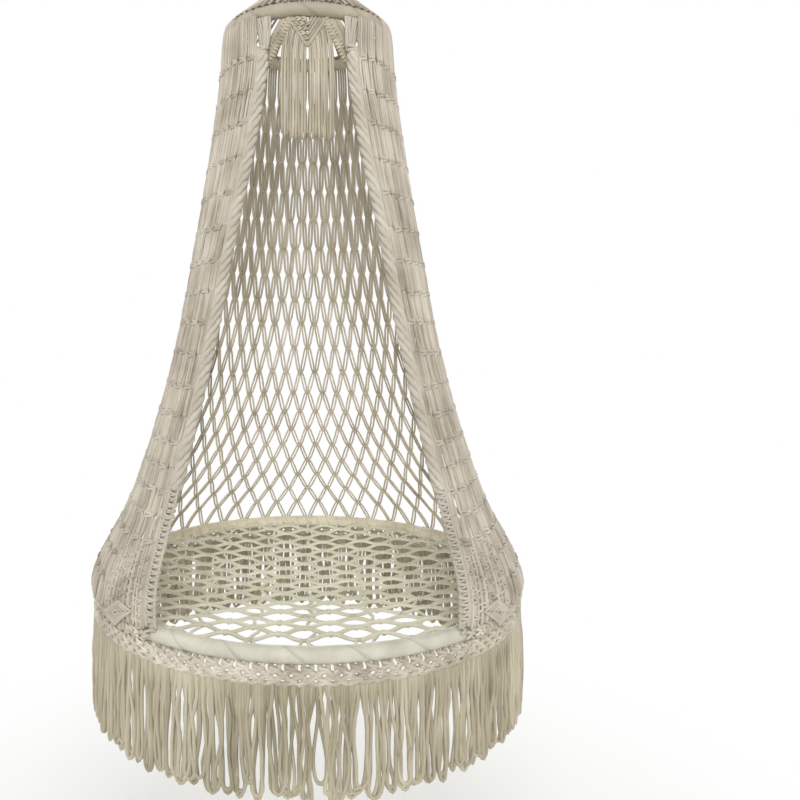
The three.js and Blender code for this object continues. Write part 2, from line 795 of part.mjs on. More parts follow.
function addHoops() {
  const hoops = [
    ["top_hoop", topHoopRadius, topHoopZ],
    ["seat_hoop", seatHoopRadius, seatHoopZ],
  ];
  for (const [name, radius, z] of hoops) {
    addHoop(name, radius, z);
    addHoopWrap(`${name}_front_sleeve`, radius, z, -openingHalfSteps, openingHalfSteps);
    addHoopWrap(`${name}_wrap`, radius, z, openingHalfSteps, gridSteps - openingHalfSteps);
  }
}

function addSkirt() {
  addSkirtBand();
  const names = ["front", "right", "back_right", "back_left", "left"];
  names.forEach((name, i) => {
    addFringe(`fringe_${name}`, -openingHalfSteps + (i * gridSteps) / fringeSections);
  });
}

addHangingRing();
addRopeEye();
addEyeWhipping();
addHangingRope();
addGatherWrap();
addSuspensionCords();
addHoops();
addWalls();
addValancePanel();
addValanceCords();
addSeatNet();
addSkirt();

export default parts;
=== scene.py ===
"""Looks of a macrame hammock chair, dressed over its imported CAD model.

Every length is in metres, in the CAD model's own frame: +Z is up, -Y is the front where a person
gets in, and the origin is the point at which the ceiling hook carries the steel ring.
"""

import logging
import math
from dataclasses import dataclass, field
from enum import Enum

import bpy
import numpy as np
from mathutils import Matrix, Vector

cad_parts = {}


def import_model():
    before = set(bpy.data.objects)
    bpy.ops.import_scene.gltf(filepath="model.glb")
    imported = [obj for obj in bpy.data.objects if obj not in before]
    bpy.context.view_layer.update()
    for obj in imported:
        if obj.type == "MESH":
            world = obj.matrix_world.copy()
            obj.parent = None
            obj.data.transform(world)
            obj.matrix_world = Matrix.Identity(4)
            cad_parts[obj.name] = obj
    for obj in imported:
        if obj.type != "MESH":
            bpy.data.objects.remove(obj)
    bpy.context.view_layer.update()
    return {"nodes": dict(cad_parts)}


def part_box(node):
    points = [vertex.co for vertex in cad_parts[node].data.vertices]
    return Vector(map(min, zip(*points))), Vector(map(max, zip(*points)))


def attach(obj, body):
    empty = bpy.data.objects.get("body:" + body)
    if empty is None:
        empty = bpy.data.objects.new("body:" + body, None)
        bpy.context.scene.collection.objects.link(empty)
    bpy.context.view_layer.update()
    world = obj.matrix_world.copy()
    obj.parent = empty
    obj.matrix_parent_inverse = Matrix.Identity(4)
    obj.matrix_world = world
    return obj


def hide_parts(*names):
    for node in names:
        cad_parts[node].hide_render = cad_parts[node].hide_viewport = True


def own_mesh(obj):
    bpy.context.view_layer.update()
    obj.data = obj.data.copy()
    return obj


LOG = logging.getLogger("hammock_chair")
TURN = 2.0 * math.pi
SEED = 20
UP = np.array([0.0, 0.0, 1.0])

# Places of four cords side by side, and how many shades the cords run through
FOUR_LANES = (-1.5, -0.5, 0.5, 1.5)
TONES = 89


class Body(Enum):
    """The CAD bodies that a piece can ride on."""

    HANGER = "hanger"
    ROPE = "rope"
    CANOPY = "canopy"
    SEAT = "seat"


class Side(Enum):
    """The two sides of the chair, as the sign of X."""

    LEFT = -1
    RIGHT = 1


# Shader groups and finishes


def srgb(red: float, green: float, blue: float) -> tuple[float, float, float, float]:
    """Turns a colour as seen on a screen into the linear colour that a shader takes.

    Args:
        red: Red from 0 to 1.
        green: Green from 0 to 1.
        blue: Blue from 0 to 1.

    Returns:
        The linear colour with alpha 1.
    """

    def linear(value: float) -> float:
        """Returns one channel's linear value."""
        return value / 12.92 if value <= 0.04045 else ((value + 0.055) / 1.055) ** 2.4

    return (linear(red), linear(green), linear(blue), 1.0)


@dataclass
class Graph:
    """A shader node tree, with short ways to add to it.

    Attributes:
        tree: The tree.
    """

    tree: bpy.types.NodeTree

    def feed(self, node: bpy.types.Node, inputs: dict) -> None:
        """Fills a node's inputs.

        Args:
            node: The node.
            inputs: By name or number, the value that an input holds or the socket that feeds it.
        """
        for key, value in inputs.items():
            if isinstance(value, bpy.types.NodeSocket):
                self.tree.links.new(value, node.inputs[key])
            else:
                node.inputs[key].default_value = value

    def node(self, kind: str, inputs: dict | None = None, **settings: object) -> bpy.types.Node:
        """Adds a node.

        Args:
            kind: The node's type, without its ShaderNode prefix.
            inputs: What fills its inputs.
            **settings: Values for the node's own properties.

        Returns:
            The new node.
        """
        made = self.tree.nodes.new("ShaderNode" + kind)
        for key, value in settings.items():
            setattr(made, key, value)
        self.feed(made, inputs or {})
        return made

    def maths(self, operation: str, *values: object, clamp: bool = False) -> bpy.types.NodeSocket:
        """Adds a Math node for some numbers or sockets and gives its output."""
        made = self.node("Math", dict(enumerate(values)), operation=operation, use_clamp=clamp)
        return made.outputs[0]

    def noise(self, inputs: dict) -> bpy.types.NodeSocket:
        """Adds noise that lies fixed on the object and gives its output."""
        spot = self.node("TexCoord").outputs["Object"]
        return self.node("TexNoise", {"Vector": spot, **inputs}).outputs["Fac"]

    def uv(self) -> tuple[bpy.types.NodeSocket, bpy.types.NodeSocket]:
        """Gives the UV map's U and V."""
        split = self.node("SeparateXYZ", {0: self.node("UVMap").outputs["UV"]})
        return split.outputs[0], split.outputs[1]

    def seen(self, operation: str, clamp: bool = False) -> bpy.types.NodeSocket:
        """Tells the rays that see a thing from those that only light it.

        Args:
            operation: How to put camera, glossy and transmission rays together.
            clamp: True to hold the result at 1.

        Returns:
            A socket that gives 1 for the rays that see it.
        """
        path = self.node("LightPath").outputs
        either = self.maths(operation, path["Is Camera Ray"], path["Is Glossy Ray"], clamp=clamp)
        return self.maths(operation, either, path["Is Transmission Ray"], clamp=clamp)


def start_group(name: str, inputs: dict, outputs: dict[str, str]) -> tuple:
    """Starts a shader node group.

    Args:
        name: The group's name.
        inputs: By input, the number or colour that it holds when nothing feeds it.
        outputs: By output, its kind, Float or Color.

    Returns:
        The group's graph, its input sockets by name, and its output node.
    """
    made = Graph(bpy.data.node_groups.new(name, "ShaderNodeTree"))
    start = made.tree.nodes.new("NodeGroupInput")
    end = made.tree.nodes.new("NodeGroupOutput")
    sockets = made.tree.interface
    for title, value in inputs.items():
        kind = "NodeSocketColor" if isinstance(value, tuple) else "NodeSocketFloat"
        sockets.new_socket(name=title, in_out="INPUT", socket_type=kind).default_value = value
    for title, kind in outputs.items():
        sockets.new_socket(name=title, in_out="OUTPUT", socket_type="NodeSocket" + kind)
    return made, start.outputs, end


def cord_lay_group() -> bpy.types.NodeTree:
    """Builds a cord's fine braid from its UV map: U along it in metres, V once round it.

    Each cord's V starts at a whole number of its own, which picks how dull it is.

    Returns:
        The group, which gives Height, a Crease mask for painted shade and a Shade from 0 to 1 for each
        cord.
    """
    made, given, end = start_group(
        "cord_lay",
        {"Ridges per metre": 420.0, "Strands": 4.0, "Fuzz scale": 900.0},
        {"Height": "Float", "Crease": "Float", "Shade": "Float"},
    )
    u, v = made.uv()
    chance = made.node("TexWhiteNoise", {"W": made.maths("FLOOR", v)}, noise_dimensions="1D")
    along = made.maths("MULTIPLY", u, given["Ridges per metre"])
    around = made.maths("MULTIPLY", v, given["Strands"])
    waves = []
    for way in ("ADD", "SUBTRACT"):
        phase = made.maths("MULTIPLY", made.maths(way, along, around), TURN)
        waves.append(made.maths("SINE", phase))
    crown = made.maths("MULTIPLY_ADD", made.maths("MAXIMUM", *waves), 0.5, 0.5)
    ridge = made.maths("POWER", crown, 0.7)
    fuzz = made.noise({"Scale": given["Fuzz scale"], "Detail": 3.0})
    height = made.maths("MULTIPLY_ADD", fuzz, 0.5, ridge)
    # The braid's creases, which the tone group darkens as painted shade
    crease_shade = made.maths("SUBTRACT", 1.0, ridge)
    made.feed(end, {"Height": height, "Crease": crease_shade, "Shade": chance.outputs["Value"]})
    return made.tree


def tone_and_shade_group() -> bpy.types.NodeTree:
    """Builds the slow drift of a natural fibre's colour, with painted shade darkening its creases.

    Returns:
        The group, which gives Color.
    """
    colours = {"Light": (0.7, 0.66, 0.6, 1.0), "Dark": (0.5, 0.46, 0.4, 1.0), "Patch scale": 14.0}
    masks = {"Crease": 0.0, "Crease shade depth": 0.35, "Shade": 0.0, "Shade depth": 0.45}
    made, given, end = start_group("fibre_tone_and_crease_shade", {**colours, **masks}, {"Color": "Color"})
    patch = made.noise({"Scale": given["Patch scale"], "Detail": 4.0})
    spread = made.node("MapRange", {"Value": patch, "From Min": 0.35, "From Max": 0.7})
    share = made.maths("MULTIPLY", spread.outputs["Result"], 0.45)
    # Painted shade: the creases are pulled towards the dark colour
    crease_shade = made.maths("MULTIPLY", given["Crease"], given["Crease shade depth"])
    shade = made.maths("MULTIPLY", given["Shade"], given["Shade depth"])
    total = made.maths("MINIMUM", made.maths("ADD", made.maths("ADD", share, crease_shade), shade), 1.0)
    ends = {"Factor": total, 6: given["Light"], 7: given["Dark"]}
    made.feed(end, {"Color": made.node("Mix", ends, data_type="RGBA").outputs[2]})
    return made.tree


def tape_group() -> bpy.types.NodeTree:
    """Builds a wound tape's fine weave, soft wrinkles and slanting lap lines from its UV map.

    Returns:
        The group, which gives Height and a Lap mask, which the finish also uses for painted shade along the
        lap lines.
    """
    made, given, end = start_group(
        "wound_tape",
        {"Laps per metre": 11.0, "Weave per metre": 1400.0},
        {"Height": "Float", "Lap": "Float"},
    )
    u, v = made.uv()
    saw = made.maths("FRACT", made.maths("ADD", made.maths("MULTIPLY", u, given["Laps per metre"]), v))
    edge = made.maths("SUBTRACT", 1.0, made.maths("MULTIPLY", saw, 9.0))
    lap = made.maths("SMOOTH_MAX", edge, 0.0, 0.1)
    weave_along = made.maths("SINE", made.maths("MULTIPLY", u, given["Weave per metre"]))
    weave_round = made.maths("SINE", made.maths("MULTIPLY", v, 90.0))
    weave = made.maths("MULTIPLY", weave_along, weave_round)
    wrinkle = made.noise({"Scale": 46.0, "Detail": 3.0, "Distortion": 1.2})
    soft = made.maths("MULTIPLY_ADD", wrinkle, 0.9, made.maths("MULTIPLY", weave, 0.04))
    made.feed(end, {"Height": made.maths("MULTIPLY_ADD", lap, -0.5, soft), "Lap": lap})
    return made.tree


@dataclass
class ShaderKit:
    """The shader groups, built once and shared by the finishes."""

    lay: bpy.types.NodeTree = field(default_factory=cord_lay_group)
    tone: bpy.types.NodeTree = field(default_factory=tone_and_shade_group)
    tape: bpy.types.NodeTree = field(default_factory=tape_group)


def fresh_material(name: str) -> tuple[bpy.types.Material, Graph, bpy.types.Node]:
    """Makes a material with only a Principled shader.

    Args:
        name: The material's name.

    Returns:
        The material, its graph and its shader node.
    """
    made = bpy.data.materials.new(name)
    made.use_nodes = True
    return made, Graph(made.node_tree), made.node_tree.nodes["Principled BSDF"]


@dataclass(frozen=True)
class CordFinish:
    """Laid cotton cord.

    Attributes:
        name: The material's name.
        light: Colour of the ridges.
        dark: Colour of the creases, where it is painted shade, and of duller patches and cords.
        ridges: Ridges of the braid for each metre.
        bump: Height of the braid in metres.
        patch: Scale of the slow colour drift.
    """

    name: str
    light: tuple[float, float, float, float]
    dark: tuple[float, float, float, float]
    ridges: float = 420.0
    bump: float = 0.00035
    patch: float = 14.0

    def make(self, kit: ShaderKit) -> bpy.types.Material:
        """Builds the material.

        Args:
            kit: The shared shader groups.

        Returns:
            The material.
        """
        made, graph, shader = fresh_material(self.name)
        lay = graph.node("Group", {"Ridges per metre": self.ridges}, node_tree=kit.lay).outputs
        colours = {"Light": self.light, "Dark": self.dark, "Patch scale": self.patch}
        # The crease mask paints shade into the braid's creases
        masks = {"Crease": lay["Crease"], "Shade": lay["Shade"]}
        tone = graph.node("Group", {**colours, **masks}, node_tree=kit.tone)
        bump = graph.node("Bump", {"Strength": 0.7, "Distance": self.bump, "Height": lay["Height"]})
        graph.feed(shader, {"Base Color": tone.outputs["Color"], "Normal": bump.outputs["Normal"]})
        graph.feed(shader, {"Roughness": 0.88, "Sheen Weight": 0.15, "Sheen Roughness": 0.5})
        return made


@dataclass(frozen=True)
class TapeFinish:
    """Smooth tape wound round a hoop.

    Attributes:
        name: The material's name.
        light: The tape's colour.
        dark: Colour painted along its lap lines as shade, and of its duller patches.
        laps: Laps for each metre.
        roughness: How dull it is.
    """

    name: str
    light: tuple[float, float, float, float]
    dark: tuple[float, float, float, float]
    laps: float = 11.0
    roughness: float = 0.6

    def make(self, kit: ShaderKit) -> bpy.types.Material:
        """Builds the material.

        Args:
            kit: The shared shader groups.

        Returns:
            The material.
        """
        made, graph, shader = fresh_material(self.name)
        wound = graph.node("Group", {"Laps per metre": self.laps}, node_tree=kit.tape).outputs
        colours = {"Light": self.light, "Dark": self.dark, "Patch scale": 22.0}
        # Painted shade: the lap lines are darkened through the crease input
        tone = graph.node("Group", {**colours, "Crease": wound["Lap"]}, node_tree=kit.tone)
        bump = graph.node("Bump", {"Strength": 0.8, "Distance": 0.0024, "Height": wound["Height"]})
        graph.feed(shader, {"Base Color": tone.outputs["Color"], "Normal": bump.outputs["Normal"]})
        graph.feed(shader, {"Roughness": self.roughness})
        return made


@dataclass(frozen=True)
class SteelFinish:
    """Plated or plain steel, a little scuffed.

    Attributes:
        name: The material's name.
        colour: The metal's colour.
        roughness: How dull it is.
    """

    name: str
    colour: tuple[float, float, float, float]
    roughness: float = 0.3

    def make(self, kit: ShaderKit) -> bpy.types.Material:
        """Builds the material.

        Args:
            kit: The shared shader groups.

        Returns:
            The material.
        """
        made, graph, shader = fresh_material(self.name)
        dull = tuple(0.6 * c for c in self.colour[:3]) + (1.0,)
        colours = {"Light": self.colour, "Dark": dull, "Patch scale": 160.0}
        tone = graph.node("Group", colours, node_tree=kit.tone)
        ends = {"To Min": self.roughness - 0.08, "To Max": self.roughness + 0.14}
        spread = graph.node("MapRange", {"Value": graph.noise({"Scale": 420.0}), **ends})
        graph.feed(shader, {"Base Color": tone.outputs["Color"], "Metallic": 1.0})
        graph.feed(shader, {"Roughness": spread.outputs["Result"]})
        return made


NET_FINISH = CordFinish("net_cotton", srgb(0.83, 0.797, 0.738), srgb(0.535, 0.49, 0.42))
# Painted light: the seat net's cotton is painted lighter to stand in for light from above that the walls
# keep off
SEAT_NET_LIT_FINISH = CordFinish("seat_cotton_painted_light", srgb(0.95, 0.94, 0.86), srgb(0.8, 0.78, 0.68))
FRINGE_FINISH = CordFinish(
    "fringe_cotton", srgb(0.79, 0.757, 0.665), srgb(0.53, 0.49, 0.395), 420.0, 0.00035, 9.0
)
# Painted light: the back net is the side panels' cotton, painted lighter to stand in for light on its inner
# side
BACK_NET_LIT_FINISH = CordFinish("back_cotton_painted_light", srgb(0.915, 0.885, 0.81), srgb(0.71, 0.67, 0.585))
VALANCE_FINISH = CordFinish("valance_cotton", srgb(0.8, 0.765, 0.685), srgb(0.56, 0.515, 0.435))
BRAID_FINISH = CordFinish("braid_cotton", srgb(0.79, 0.765, 0.71), srgb(0.67, 0.635, 0.57))
BAND_FINISH = CordFinish("band_cotton", srgb(0.88, 0.85, 0.78), srgb(0.6, 0.555, 0.48))
ROPE_FINISH = CordFinish(
    "rope_cotton", srgb(0.88, 0.855, 0.8), srgb(0.66, 0.61, 0.52), 300.0, 0.0005
)
SLEEVE_FINISH = TapeFinish("front_tape", srgb(0.795, 0.78, 0.72), srgb(0.55, 0.53, 0.465), 11.0, 0.5)
# Painted shade: the upper hoop's sleeve is the seat sleeve's tape, painted darker for the shade it hangs in
TOP_SLEEVE_SHADED_FINISH = TapeFinish(
    "top_front_tape_painted_shade", srgb(0.665, 0.63, 0.555), srgb(0.5, 0.47, 0.4), 11.0, 0.6
)
TAPE_FINISH = TapeFinish("hoop_tape", srgb(0.92, 0.89, 0.8), srgb(0.72, 0.67, 0.56), 40.0, 0.7)
RING_FINISH = SteelFinish("ring_steel", srgb(0.8, 0.81, 0.82), 0.28)
ROD_FINISH = SteelFinish("rod_steel", srgb(0.55, 0.55, 0.56), 0.45)


# Mesh making


def unit(vectors: np.ndarray) -> np.ndarray:
    """Scales the vectors on an array's last axis to length 1."""
    size = np.linalg.norm(vectors, axis=-1, keepdims=True)
    return vectors / np.maximum(size, 1e-12)


def deselect_all() -> None:
    """Leaves object mode with nothing selected."""
    if bpy.context.object and bpy.context.object.mode != "OBJECT":
        bpy.ops.object.mode_set(mode="OBJECT")
    bpy.ops.object.select_all(action="DESELECT")


def read_items(items: object, key: str, width: int, kind: type = float) -> np.ndarray:
    """Reads a property of all of a mesh's points, corners or faces.

    Args:
        items: The mesh's collection of them.
        key: The property's name.
        width: How many numbers it has.
        kind: The numbers' type.

    Returns:
        A row for each item, or one number where the width is 1.
    """
    values = np.empty(len(items) * width, dtype=kind)
    items.foreach_get(key, values)
    return values.reshape(-1, width) if width > 1 else values


@dataclass
class Template:
    """A small mesh that is modelled once and then copied.

    Attributes:
        points: Its corners.
        corners: The corner number of each face's corner, one face after another.
        sizes: How many corners each face has.
        uvs: The UV place of each face's corner.
    """

    points: np.ndarray
    corners: np.ndarray
    sizes: np.ndarray
    uvs: np.ndarray

    @classmethod
    def take(cls, piece: bpy.types.Object, uv_size: tuple[float, float]) -> "Template":
        """Reads a modelled object and removes it from the scene.

        Args:
            piece: The object, at the origin.
            uv_size: What a whole step of U and of V stand for.

        Returns:
            The template.
        """
        mesh = piece.data
        points = read_items(mesh.vertices, "co", 3)
        corners = read_items(mesh.loops, "vertex_index", 1, np.int64)
        sizes = read_items(mesh.polygons, "loop_total", 1, np.int64)
        uvs = read_items(mesh.uv_layers[0].data, "uv", 2)
        bpy.data.objects.remove(piece)
        bpy.data.meshes.remove(mesh)
        return cls(points, corners, sizes, uvs * np.array(uv_size))


@dataclass
class Stock:
    """Gathers tubes and copies of a template into one mesh.

    Attributes:
        points: Blocks of the mesh's points.
        corners: The point number of each face's corner, in blocks.
        sizes: How many corners each face has, in blocks.
        uvs: The UV place of each face's corner, in blocks.
        count: How many points there are.
        cords: How many cords and copies there are, which numbers their shades.
    """

    points: list = field(default_factory=list)
    corners: list = field(default_factory=list)
    sizes: list = field(default_factory=list)
    uvs: list = field(default_factory=list)
    count: int = 0
    cords: int = 0

    def _add(self, points: np.ndarray, corners: np.ndarray, sizes: np.ndarray, uvs: np.ndarray) -> None:
        """Adds a block of mesh whose corner numbers start at 0."""
        self.points.append(points.reshape(-1, 3))
        self.corners.append(corners.reshape(-1) + self.count)
        self.sizes.append(sizes.reshape(-1))
        self.uvs.append(uvs.reshape(-1, 2))
        self.count += points.reshape(-1, 3).shape[0]

    def tubes(
        self,
        paths: np.ndarray,
        refs: np.ndarray,
        radius: float | np.ndarray,
        sides: int = 6,
        closed: bool = False,
    ) -> None:
        """Adds round cords along many paths of the same number of points.

        Args:
            paths: Points, as path by point by 3.
            refs: A direction at each point that the path never follows.
            radius: The cord's radius, or one for each point.
            sides: Sides of the cord's section.
            closed: True where each path runs back into its start.
        """
        paths = np.asarray(paths, dtype=float)
        if paths.ndim == 2:
            paths = paths[None]
        refs = np.broadcast_to(refs, paths.shape)
        many, steps = paths.shape[:2]
        if closed:
            ahead = np.roll(paths, -1, axis=1) - np.roll(paths, 1, axis=1)
        else:
            ahead = np.gradient(paths, axis=1)
        tangent = unit(ahead)
        across = unit(np.cross(tangent, refs))
        out = np.cross(across, tangent)
        angle = TURN * np.arange(sides) / sides
        size = np.broadcast_to(radius, (many, steps))[..., None, None]
        ring = np.cos(angle)[:, None] * out[:, :, None, :] + np.sin(angle)[:, None] * across[:, :, None, :]
        points = paths[:, :, None, :] + size * ring
        gaps = np.linalg.norm(np.diff(paths, axis=1), axis=-1)
        along = np.concatenate([np.zeros((many, 1)), np.cumsum(gaps, axis=1)], axis=1)
        spans = steps if closed else steps - 1
        path, step, side = np.meshgrid(
            np.arange(many), np.arange(spans), np.arange(sides), indexing="ij"
        )
        next_step, next_side = (step + 1) % steps, (side + 1) % sides
        a = (path * steps + step) * sides + side
        b = (path * steps + step) * sides + next_side
        c = (path * steps + next_step) * sides + next_side
        d = (path * steps + next_step) * sides + side
        quads = np.stack([a, b, c, d], axis=-1)
        if closed:
            last = along[:, -1:] + np.linalg.norm(paths[:, 0] - paths[:, -1], axis=-1)[:, None]
            along = np.concatenate([along, last], axis=1)
        low, high = along[path, step], along[path, step + 1]
        number = (self.cords + path) % TONES
        self.cords += many
        near, far = number + side / sides, number + (side + 1) / sides
        uvs = np.stack(
            [
                np.stack([low, near], -1),
                np.stack([low, far], -1),
                np.stack([high, far], -1),
                np.stack([high, near], -1),
            ],
            axis=-2,
        )
        self._add(points, quads, np.full(quads.size // 4, 4), uvs)
        if closed:
            return
        base = np.arange(many)[:, None] * steps * sides
        first = base + np.arange(sides)[::-1]
        final = base + (steps - 1) * sides + np.arange(sides)
        caps = np.concatenate([first, final])
        self.corners.append(caps.reshape(-1) + self.count - points.size // 3)
        self.sizes.append(np.full(len(caps), sides))
        self.uvs.append(np.full((caps.size, 2), 0.5))

    def copies(self, template: Template, frames: np.ndarray, places: np.ndarray) -> None:
        """Adds a turned and scaled copy of a template at each place.

        Args:
            template: What to copy.
            frames: For each copy, the directions of its own X, Y and Z as three rows.
            places: For each copy, where its origin goes.
        """
        points = np.einsum("pi,kij->kpj", template.points, frames) + places[:, None, :]
        many, each = points.shape[:2]
        corners = template.corners[None] + (np.arange(many) * each)[:, None]
        uvs = np.repeat(template.uvs[None], many, axis=0)
        uvs[:, :, 1] += ((self.cords + np.arange(many)) % TONES)[:, None]
        self.cords += many
        self._add(points, corners, np.tile(template.sizes, many), uvs)

    def build(self, name: str, material: bpy.types.Material) -> bpy.types.Object:
        """Makes the object.

        Args:
            name: Its name.
            material: Its finish.

        Returns:
            The new object, smooth and with a UV map.
        """
        points = np.concatenate(self.points)
        corners = np.concatenate(self.corners)
        sizes = np.concatenate(self.sizes)
        mesh = bpy.data.meshes.new(name)
        mesh.vertices.add(len(points))
        mesh.vertices.foreach_set("co", points.reshape(-1))
        mesh.loops.add(len(corners))
        mesh.loops.foreach_set("vertex_index", corners.astype(np.int32))
        mesh.polygons.add(len(sizes))
        starts = np.concatenate([[0], np.cumsum(sizes)[:-1]])
        mesh.polygons.foreach_set("loop_start", starts.astype(np.int32))
        mesh.polygons.foreach_set("loop_total", sizes.astype(np.int32))
        mesh.polygons.foreach_set("use_smooth", np.ones(len(sizes), dtype=bool))
        mesh.uv_layers.new(name="UVMap")
        mesh.uv_layers[0].data.foreach_set("uv", np.concatenate(self.uvs).reshape(-1))
        mesh.materials.append(material)
        mesh.update(calc_edges=True)
        mesh.validate()
        piece = bpy.data.objects.new(name, mesh)
        bpy.context.collection.objects.link(piece)
        LOG.info("%s: %d faces", name, len(mesh.polygons))
        return piece


def knot_template(width: float, depth: float, cord: float, rise: float, tilt: float) -> Template:
    """Models one square knot: two cords wrapped round the others, one above the other.

    Args:
        width: Half of the knot's width, to the middle of its cords.
        depth: Half of its depth, to the middle of its cords.
        cord: The cord's radius.
        rise: Height between the two wraps.
        tilt: Slant of a wrap in radians.

    Returns:
        The knot, with X across the net, Y out of it and Z up it.
    """
    deselect_all()
    made = []
    for way in (-1, 1):
        bpy.ops.mesh.primitive_torus_add(
            major_segments=8, minor_segments=4, major_radius=1.0, minor_radius=cord / width,
            location=(0, 0, 0),
        )
        wrap = bpy.context.object
        bpy.ops.object.mode_set(mode="EDIT")
        bpy.ops.mesh.select_all(action="SELECT")
        bpy.ops.transform.resize(value=(width, depth, width))
        bpy.ops.transform.rotate(value=way * tilt, orient_axis="Y", center_override=(0, 0, 0))
        bpy.ops.transform.translate(value=(0, 0, way * rise / 2))
        bpy.ops.object.mode_set(mode="OBJECT")
        made.append(wrap)
    for wrap in made:
        wrap.select_set(True)
    bpy.context.view_layer.objects.active = made[0]
    bpy.ops.object.join()
    return Template.take(bpy.context.object, (TURN * width, 1.0))


# The chair's plan


def spline(points: np.ndarray, before: np.ndarray, after: np.ndarray, steps: int) -> np.ndarray:
    """Draws a smooth curve through points.

    Args:
        points: The points.
        before: The point that the curve comes from, as a row.
        after: The point that it goes on to, as a row.
        steps: Steps from one point to the next.

    Returns:
        The curve's points.
    """
    padded = np.concatenate([before, points, after])
    t = np.linspace(0, 1, steps, endpoint=False)[:, None]
    parts = []
    for p0, p1, p2, p3 in zip(padded[:-3], padded[1:-2], padded[2:-1], padded[3:]):
        v0, v1 = (p2 - p0) / 2, (p3 - p1) / 2
        parts.append(
            (2 * p1 - 2 * p2 + v0 + v1) * t**3 + (-3 * p1 + 3 * p2 - 2 * v0 - v1) * t**2 + v0 * t + p1
        )
    return np.concatenate([*parts, points[-1:]])


def share_curve(shares: tuple[tuple[float, float], ...]) -> np.ndarray:
    """Draws a smooth curve through pairs of share of the way down and value, for np.interp."""
    table = np.array(shares)
    return spline(table, table[:1], table[-1:], 24).T


@dataclass
class ChairPlan:
    """Places and curves that the sub-assemblies share, read from the CAD frame.

    Attributes:
        top_z: Height of the upper hoop's middle.
        seat_z: Height of the seat hoop's middle.
        top_radius: Upper hoop's radius.
        seat_radius: Seat hoop's radius.
        wrap: Radius of a hoop's tape.
        wall_top: Net's radius at the upper hoop.
        wall_foot: Net's radius at the seat hoop.
        opening: Half of the front opening at the hoops, in radians.
        lift: How far the seat hoop lifts when the net folds; not used.
        flare: How the wall widens on its way down.
        bulge: How the opening widens on its way down.
    """

    top_z: float
    seat_z: float
    top_radius: float = 0.145
    seat_radius: float = 0.382
    wrap: float = 0.012
    wall_top: float = 0.1603
    wall_foot: float = 0.3973
    opening: float = math.radians(36)
    lift: float = 0.75
    flare: tuple = (
        (0, 0), (0.12, 0.04), (0.27, 0.135), (0.42, 0.245), (0.565, 0.36), (0.71, 0.52),
        (0.85, 0.725), (0.94, 0.93), (0.98, 1), (1, 1),
    )
    bulge: tuple = (
        (0, 0.94), (0.07, 0.89), (0.21, 0.99), (0.42, 1.19), (0.66, 1.29), (0.86, 1.25), (1, 1.03),
    )

    def __post_init__(self) -> None:
        """Draws the two curves and seeds the small unevenness of handwork."""
        self.flare_curve = share_curve(self.flare)
        self.bulge_curve = share_curve(self.bulge)
        self.random = np.random.default_rng(SEED)

    @classmethod
    def from_frame(cls) -> "ChairPlan":
        """Reads the hoops' heights from the CAD nodes.

        Returns:
            The plan.
        """
        middles = []
        for node in ("top_hoop", "seat_hoop"):
            low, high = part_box(node)
            middles.append((low[2] + high[2]) / 2)
        return cls(*middles)

    @property
    def hoop_height(self) -> float:
        """Height between the hoops."""
        return self.top_z - self.seat_z

    def wall_radius(self, height: np.ndarray) -> np.ndarray:
        """Gives the radius of the net's middle at heights above the seat hoop."""
        down = np.clip(1 - np.asarray(height) / self.hoop_height, 0, 1)
        return self.wall_top + (self.wall_foot - self.wall_top) * np.interp(down, *self.flare_curve)

    def opening_at(self, height: np.ndarray) -> np.ndarray:
        """Gives half of the front opening in radians at heights above the seat hoop."""
        down = np.clip(1 - np.asarray(height) / self.hoop_height, 0, 1)
        return self.opening * np.interp(down, *self.bulge_curve)

    def azimuth(self, share: np.ndarray, height: np.ndarray) -> np.ndarray:
        """Gives the angle from the front of shares of the way round, from the right edge to the left."""
        edge = self.opening_at(height)
        return edge + share * (TURN - 2 * edge)

    def polar(self, radius: np.ndarray, azimuth: np.ndarray, height: np.ndarray) -> np.ndarray:
        """Gives points from radius, azimuth and height above the seat hoop."""
        radius, azimuth, height = np.broadcast_arrays(radius, azimuth, height)
        return np.stack(
            [radius * np.sin(azimuth), -radius * np.cos(azimuth), self.seat_z + height], -1
        )

    def wall(self, share: np.ndarray, height: np.ndarray, out: np.ndarray = 0.0) -> np.ndarray:
        """Gives points on the net, or a little outside it."""
        return self.polar(
            self.wall_radius(height) + out, self.azimuth(share, height), np.asarray(height)
        )

    def outward(self, points: np.ndarray) -> np.ndarray:
        """Gives the level direction away from the chair's axis at each point."""
        level = np.array(points, dtype=float)
        level[..., 2] = 0
        return unit(level)

    def wall_frames(self, share: np.ndarray, height: np.ndarray) -> np.ndarray:
        """Gives the net's own directions: across it, out of it and up it."""
        step = 0.004
        up = unit(self.wall(share, height + step) - self.wall(share, height - step))
        place = self.outward(self.wall(share, height))
        across = unit(np.cross(place, up))
        out = np.cross(up, across)
        return np.stack([across, out, up], axis=-2)


def squash_to_top(piece: bpy.types.Object) -> None:
    """Gives a piece of the net its own copy of its mesh.

    Args:
        piece: The piece.
    """
    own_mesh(piece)


# Sub-assemblies


def smooth(value: np.ndarray) -> np.ndarray:
    """Clips a value to 0 to 1 and eases it at both ends."""
    value = np.clip(value, 0, 1)
    return value * value * (3 - 2 * value)


def plan_across(azimuth: np.ndarray, shape: tuple) -> np.ndarray:
    """Gives the level direction round the chair at each azimuth, for points of a shape."""
    azimuth = np.broadcast_to(azimuth, shape[:-1])
    return np.stack([np.cos(azimuth), np.sin(azimuth), np.zeros_like(azimuth)], -1)


def section_refs(paths: np.ndarray, azimuth: np.ndarray) -> np.ndarray:
    """Gives directions square to paths that run up or down at an azimuth, for their tubes."""
    return np.cross(unit(np.gradient(paths, axis=1)), plan_across(azimuth, paths.shape))


